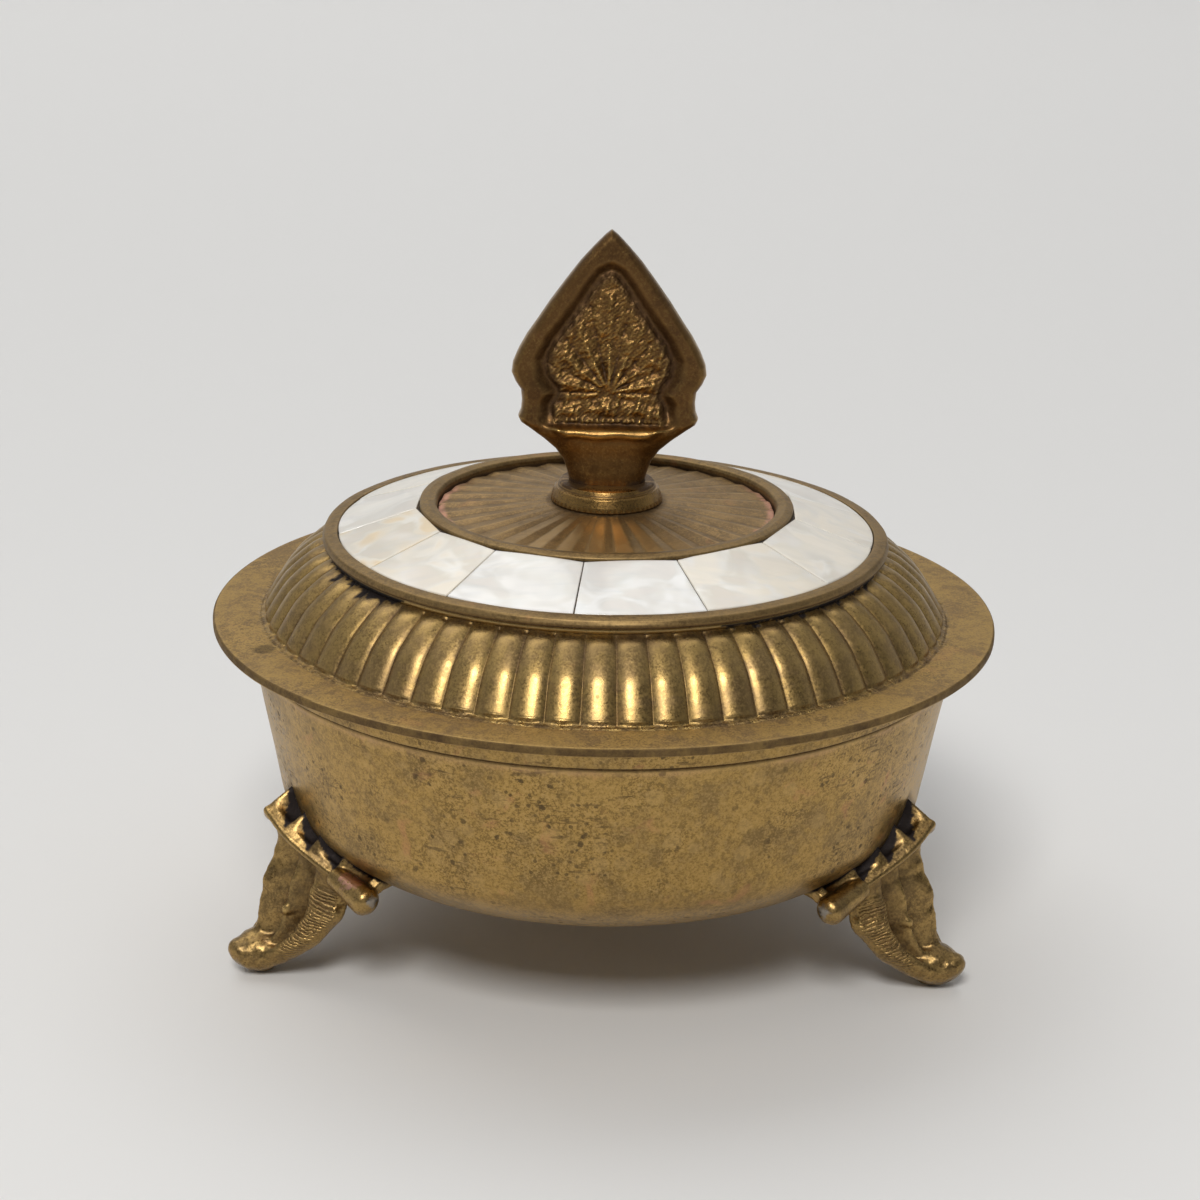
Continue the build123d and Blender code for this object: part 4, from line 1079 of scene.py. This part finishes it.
def foot_mesh():
    """One foot, facing +X: shelf, leg, two toe balls and two bars are fused, its lower part and
    throat are eased, and each point moves along its normal by an uneven cast skin and two small
    knobs. Points that would come through the bowl move out to the middle of its wall. Soot, partly painted shadow in
    the scoops, lines, deposits, painted shade in the leg's valleys and under the shelf, and wear are then marked."""
    forms = [wing_form(), leg_form(), ball_form((62.1, 0, 3.05), (4.6, 3.5, 2.55), 26),
             ball_form((60.0, 0, 4.2), (5.0, 4.2, 3.1), 4)]
    forms += [bar_form((52.0, side * 12.4, 20.5), (48.5, side * 20.9, 18.0), 2.45) for side in (-1, 1)]
    mesh = fused("foot", [(form, False, True) for form in forms], 0.24)
    points = points_of(mesh)
    eased = blurred(mesh, points, 22)
    out, rail_z = rail_point(np.clip(np.abs(points[:, 1]) / CREST_HALF, 0, 1))
    below = rail_z - points[:, 2]
    throat = smooth(1.2, 2.6, below) * smooth(8.0, 5.5, below) * (np.abs(points[:, 1]) < 15)
    low = np.maximum(smooth(11, 7, points[:, 2]), throat)[:, None]
    set_points(mesh, points * (1 - low) + eased * low)
    points, normal = points_of(mesh), normals_of(mesh)
    n, s, z = points.T
    a = np.abs(s)
    out, rail_z = rail_point(np.clip(a / CREST_HALF, 0, 1))
    skin = cast_skin(points, 3.2, 2, 4) * (0.03 + 0.06 * smooth(1.0, 4.0, rail_z - z))
    on_lobe = smooth(5.2, 6.8, a) * smooth(18.5, 15.5, z) * smooth(3.5, 6.0, z) * smooth(0.0, 0.3, normal[:, 0])
    boss = np.zeros(len(n))
    for side in (-1, 1):
        boss += 0.7 * swell(np.sqrt((s - side * 4.0) ** 2 + (z - 12.2) ** 2), 0, 1.4) * (normal[:, 0] > 0)
    points = points + normal * (skin + boss)[:, None]
    points[:, 2] = np.maximum(points[:, 2], 0.0)
    points[:, 0] = np.minimum(points[:, 0], TOE_REACH)
    reach = radius_of(points)
    hold = bowl_side(np.maximum(points[:, 2], BASE_Z)) - HALF_WALL
    within_wall = (points[:, 2] > BASE_Z + 0.3) & (reach < hold)
    points[:, :2] *= np.where(within_wall, hold / reach, 1)[:, None]
    set_points(mesh, points)
    mark_relief(mesh, 9, 0.22)
    shade_and_dirt_mask = marked(mesh, "shade_and_dirt_mask")
    wide = np.hypot(out, a) - bowl_side(rail_z) + 0.3
    share = (np.hypot(n, s) - bowl_side(z)) / wide + 0.05 * cast_skin(points, 1.3, 14, 3)
    phase = (a / SCOOP) % 1
    # The soot in each scoop is partly real residue and partly painted shadow.
    soot_and_shadow_reach = (0.10 + 0.72 * phase) * (1 - 0.7 * smooth(12.6, 13.2, a))
    soot = smooth(0.06, 0.0, share - soot_and_shadow_reach) * (z > rail_z - 5.0) * smooth(19.5, 18.0, a)
    fin = smooth(0.80, 0.97, np.abs(phase - 0.5) * 2) * smooth(0.15, 0.35, share)
    mark(mesh, "soot", soot * (1 - 0.8 * fin) * smooth(-0.3, 0.2, normal[:, 2]))
    mark(mesh, "lines", (z + 0.45 * a) / 40)
    table = np.array(LEG)[::-1]
    across = a / np.interp(z, table[:, 2], table[:, 3])
    # painted shade: the leg's valleys are darkened
    painted_valley_shade = np.maximum(0.48 * swell(across, 0.54, 0.15), 0.28 * swell(across, 0.27, 0.1)) * (normal[:, 0] > 0)
    painted_valley_shade = painted_valley_shade * smooth(4.5, 8.0, z) * smooth(0.5, 3.0, rail_z - z)
    # painted shadow: the leg's face just under the shelf is darkened
    painted_shadow_under_shelf = swell(z, rail_z - 4.2, 1.6) * (normal[:, 0] > 0) * 0.4
    mark(mesh, "shade_and_dirt_mask", np.maximum.reduce([shade_and_dirt_mask, painted_valley_shade, painted_shadow_under_shelf]))
    mark(mesh, "lobe", on_lobe)
    end = np.hypot(n - 48.6, a - 20.6) + np.abs(z - 19.0) + 0.4 * cast_skin(points, 1.2, 37, 2)
    mark(mesh, "worn", smooth(1.6, 1.1, end))
    return mesh


def make_feet():
    """The one foot is turned to each of its places. The front left one keeps a blob of solder."""
    shape = foot_mesh()
    rest = points_of(shape)
    for name, angle in FEET.items():
        mesh = shape.copy()
        mesh.name = name + "_casting"
        turn = math.radians(angle)
        c, s = math.cos(turn), math.sin(turn)
        x, y, z = rest.T
        set_points(mesh, np.stack([c * x - s * y, s * x + c * y, z], -1))
        if name == "foot_front_left":
            blob = np.sqrt((x - 50.4) ** 2 + (y - 16.2) ** 2 + (z - 21.0) ** 2) + 0.8 * cast_skin(rest, 1.4, 39, 3)
            mark(mesh, "copper_and_warm_highlight", smooth(2.4, 1.5, blob))
        dress(place(name + "_casting", mesh), "foot", "bowl", [name])
    bpy.data.meshes.remove(shape)


# Hidden pieces keep their own shapes

def dress_plain():
    """Gives the hidden pieces, which keep their own shapes, a plain brass."""
    for name in ("locating_ring", "finial_washer", "finial_nut"):
        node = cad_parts[name]
        node.data.materials.clear()
        node.data.materials.append(finish_for("fixing"))


# Stage

LENS, SENSOR, SHIFT = 90.0, 36.0, (-0.00342, 0.00572)
LAMPS = (
    # name, size, power, place, target, colour
    ("key_panel", (0.58, 0.58), 18.0, (-0.18, -1.2, 1.38), (0, 0, 0.05), (1.0, 0.98, 0.95)),
    ("sky_panel", (2.8, 2.2), 25.0, (-0.4, 1.3, 2.2), (0, 0.45, 0.0), (1.0, 0.99, 0.97)),
)


def aim_camera(settings):
    """The camera stands in front of the box, looks down on it and is rolled a little."""
    pitch, roll = settings.pitch, settings.roll
    ahead = Vector((0, math.cos(pitch), -math.sin(pitch)))
    up = Vector((0, math.sin(pitch), math.cos(pitch)))
    right = Vector((1, 0, 0))
    x = right * math.cos(roll) + up * math.sin(roll)
    y = up * math.cos(roll) - right * math.sin(roll)
    data = bpy.data.cameras.new("camera")
    data.lens, data.sensor_width = LENS, SENSOR
    data.shift_x, data.shift_y = SHIFT
    data.clip_start, data.clip_end = 0.01, 20.0
    camera = bpy.data.objects.new("camera", data)
    eye = Vector((0, 0, RIM_TOP * 0.001)) - ahead * settings.distance
    turn = Matrix((x, y, -ahead)).transposed().to_4x4()
    camera.matrix_world = Matrix.Translation(eye) @ turn
    bpy.context.scene.collection.objects.link(camera)
    bpy.context.scene.camera = camera


def make_lamp(name, size, power, spot, target, colour):
    """A soft rectangular panel that faces its target."""
    data = bpy.data.lights.new(name, "AREA")
    data.shape, data.size, data.size_y = "RECTANGLE", size[0], size[1]
    data.energy, data.color = power, colour
    lamp = bpy.data.objects.new(name, data)
    direction = Vector(target) - Vector(spot)
    lamp.matrix_world = Matrix.Translation(spot) @ direction.to_track_quat("-Z", "Y").to_matrix().to_4x4()
    bpy.context.scene.collection.objects.link(lamp)


def make_floor(settings):
    """One sheet: flat under the box and far around it, rising in wide curves far in front of it and far behind it.
    Its colour grows paler with distance behind it, as in the photograph, and darker in front, as painted shade for
    the dim room where the viewer stands."""
    t = np.linspace(0, 1, 40)
    depth = np.concatenate([[-2.6], -1.8 - 0.8 * np.cos(t * math.pi / 2), np.linspace(-1.7, 1.5, 22),
                            1.5 + 0.8 * np.sin(t * math.pi / 2), [2.3]])
    height = np.concatenate([[1.5], 0.8 * (1 - np.sin(t * math.pi / 2)), np.zeros(22),
                             0.8 * (1 - np.cos(t * math.pi / 2)), [3.0]])
    x = np.linspace(-3.2, 3.2, 9)
    grid = np.stack(np.broadcast_arrays(x[None, :], depth[:, None], height[:, None]), -1) * 1000.0
    piece = make_piece("floor", [(grid, False, False)], keep_turn=True)
    f = Finish("pale_floor")
    near = settings.floor_colour[:]
    far = tuple(min(1.0, c * settings.floor_fade) for c in near)
    colour = f.blend(f.step(f.part("Y"), 100.0, 1300.0), near, far)
    # painted shade: the floor is darkened in front of the box
    viewer = tuple(c * settings.floor_front for c in near)
    colour = f.blend(f.step(f.part("Y"), -140.0, -700.0), colour, viewer)
    piece.data.materials.append(f.surface(Base_Color=colour, Roughness=0.8, Specular_IOR_Level=0.2))


def light_world(settings):
    """A room that is dim in front, where the viewer stands, and paler behind and above."""
    world = bpy.data.worlds.new("room")
    world.use_nodes = True
    tree = world.node_tree
    coords = tree.nodes.new("ShaderNodeTexCoord")
    apart = tree.nodes.new("ShaderNodeSeparateXYZ")
    lean = tree.nodes.new("ShaderNodeMath")
    lean.operation = "MULTIPLY_ADD"
    lean.inputs[1].default_value = -settings.room_side
    behind = tree.nodes.new("ShaderNodeMapRange")
    behind.interpolation_type = "SMOOTHSTEP"
    behind.inputs["From Min"].default_value = -0.85
    behind.inputs["From Max"].default_value = 0.25
    behind.inputs["To Min"].default_value = settings.room_front
    behind.inputs["To Max"].default_value = settings.room_light
    tree.links.new(coords.outputs["Generated"], apart.inputs[0])
    tree.links.new(apart.outputs["X"], lean.inputs[0])
    tree.links.new(apart.outputs["Y"], lean.inputs[2])
    tree.links.new(lean.outputs[0], behind.inputs["Value"])
    back = tree.nodes["Background"]
    back.inputs["Color"].default_value = (0.95, 0.97, 1.0, 1.0)
    tree.links.new(behind.outputs[0], back.inputs["Strength"])
    bpy.context.scene.world = world


# Add-on

class TrinketBoxSettings(bpy.types.PropertyGroup):
    """Sizes and colours that a user may want to change."""

    reed_count: IntProperty(name="Reeds", description="Number of reeds round the lid's shoulder", default=64, min=24,
                            max=80)
    reed_height: FloatProperty(name="Reed height", description="How far a reed stands out of its valleys",
                               default=0.00074, min=0.0, max=0.0012, precision=5, unit="LENGTH")
    ray_count: IntProperty(name="Rays", description="Number of rays in the sunburst disc", default=32, min=12, max=48)
    brass_tint: FloatVectorProperty(name="Brass tint", description="Multiplies the colours of all brass",
                                    subtype="COLOR", default=(1.0, 1.0, 1.0), min=0, max=1)
    pearl_white: FloatVectorProperty(name="Pearl white", description="Palest colour of the mother-of-pearl",
                                     subtype="COLOR", default=(0.95, 0.945, 0.93), min=0, max=1)
    distance: FloatProperty(name="Camera distance", description="From the rim's centre to the camera",
                            default=0.50233, unit="LENGTH")
    pitch: FloatProperty(name="Camera pitch", description="How far the camera looks down",
                         default=math.radians(18.747), subtype="ANGLE")
    roll: FloatProperty(name="Camera roll", description="How far the camera leans", default=math.radians(1.221),
                        subtype="ANGLE")
    room_light: FloatProperty(name="Room light", description="Strength of the light behind", default=0.42)
    room_front: FloatProperty(name="Front light", description="Strength of the light in front", default=0.13)
    room_side: FloatProperty(name="Side shade", description="How much darker the right is", default=0.25)
    floor_front: FloatProperty(name="Floor front", description="How dark the floor grows in front", default=0.42)
    floor_fade: FloatProperty(name="Floor fade", description="How much paler the far floor is", default=1.15)
    floor_colour: FloatVectorProperty(name="Floor colour", description="Colour of the floor and backdrop",
                                      subtype="COLOR", default=(0.79, 0.785, 0.775), min=0, max=1)


def set_stage(settings):
    """Camera, floor, room and lamps."""
    aim_camera(settings)
    make_floor(settings)
    light_world(settings)
    for lamp in LAMPS:
        make_lamp(*lamp)


class TRINKET_OT_bowl(bpy.types.Operator):
    """Spin the bowl"""

    bl_idname, bl_label = "trinket.bowl", "Bowl"

    def execute(self, context):
        make_bowl()
        return {"FINISHED"}


class TRINKET_OT_feet(bpy.types.Operator):
    """Cast the three feet"""

    bl_idname, bl_label = "trinket.feet", "Feet"

    def execute(self, context):
        make_feet()
        return {"FINISHED"}


class TRINKET_OT_lid(bpy.types.Operator):
    """Spin the lid and press its reeds"""

    bl_idname, bl_label = "trinket.lid", "Lid shell"

    def execute(self, context):
        make_lid()
        return {"FINISHED"}


class TRINKET_OT_tray(bpy.types.Operator):
    """Spin the tray of the inlay"""

    bl_idname, bl_label = "trinket.tray", "Inlay tray"

    def execute(self, context):
        make_tray()
        return {"FINISHED"}


class TRINKET_OT_cement(bpy.types.Operator):
    """Lay the cement bed"""

    bl_idname, bl_label = "trinket.cement", "Cement"

    def execute(self, context):
        make_cement()
        return {"FINISHED"}


class TRINKET_OT_tiles(bpy.types.Operator):
    """Cut and lay the mother-of-pearl tiles"""

    bl_idname, bl_label = "trinket.tiles", "Tiles"

    def execute(self, context):
        make_tiles()
        return {"FINISHED"}


class TRINKET_OT_disc(bpy.types.Operator):
    """Press the sunburst disc"""

    bl_idname, bl_label = "trinket.disc", "Sunburst disc"

    def execute(self, context):
        make_disc()
        return {"FINISHED"}


class TRINKET_OT_collar(bpy.types.Operator):
    """Turn the finial's collar"""

    bl_idname, bl_label = "trinket.collar", "Collar"

    def execute(self, context):
        make_collar()
        return {"FINISHED"}


class TRINKET_OT_finial(bpy.types.Operator):
    """Cast the finial"""

    bl_idname, bl_label = "trinket.finial", "Finial"

    def execute(self, context):
        make_finial()
        return {"FINISHED"}


class TRINKET_OT_fixings(bpy.types.Operator):
    """Finish the ring, washer and nut"""

    bl_idname, bl_label = "trinket.fixings", "Fixings"

    def execute(self, context):
        dress_plain()
        return {"FINISHED"}


class TRINKET_OT_stage(bpy.types.Operator):
    """Set the floor, lights and camera"""

    bl_idname, bl_label = "trinket.stage", "Stage"

    def execute(self, context):
        set_stage(chosen())
        return {"FINISHED"}


OPERATORS = (
    TRINKET_OT_bowl, TRINKET_OT_feet, TRINKET_OT_lid, TRINKET_OT_tray, TRINKET_OT_cement, TRINKET_OT_tiles,
    TRINKET_OT_disc, TRINKET_OT_collar, TRINKET_OT_finial, TRINKET_OT_fixings, TRINKET_OT_stage,
)


class TRINKET_PT_panel(bpy.types.Panel):
    """Lists the pieces of the trinket box."""

    bl_idname = "TRINKET_PT_panel"
    bl_label = "Trinket box"
    bl_space_type = "VIEW_3D"
    bl_region_type = "UI"
    bl_category = "Trinket Box"

    def draw(self, context):
        for key in TrinketBoxSettings.__annotations__:
            self.layout.prop(context.scene.trinket_box, key)
        for operator in OPERATORS:
            self.layout.operator(operator.bl_idname)


CLASSES = (TrinketBoxSettings, *OPERATORS, TRINKET_PT_panel)


def register():
    for cls in CLASSES:
        bpy.utils.register_class(cls)
    bpy.types.Scene.trinket_box = PointerProperty(type=TrinketBoxSettings)


def unregister():
    del bpy.types.Scene.trinket_box
    for cls in reversed(CLASSES):
        bpy.utils.unregister_class(cls)


def main():
    register()
    view = bpy.context.scene.view_settings
    view.view_transform = "Standard"
    for operator in OPERATORS:
        group, name = operator.bl_idname.split(".")
        getattr(getattr(bpy.ops, group), name)()


if __name__ == "__main__":
    main()
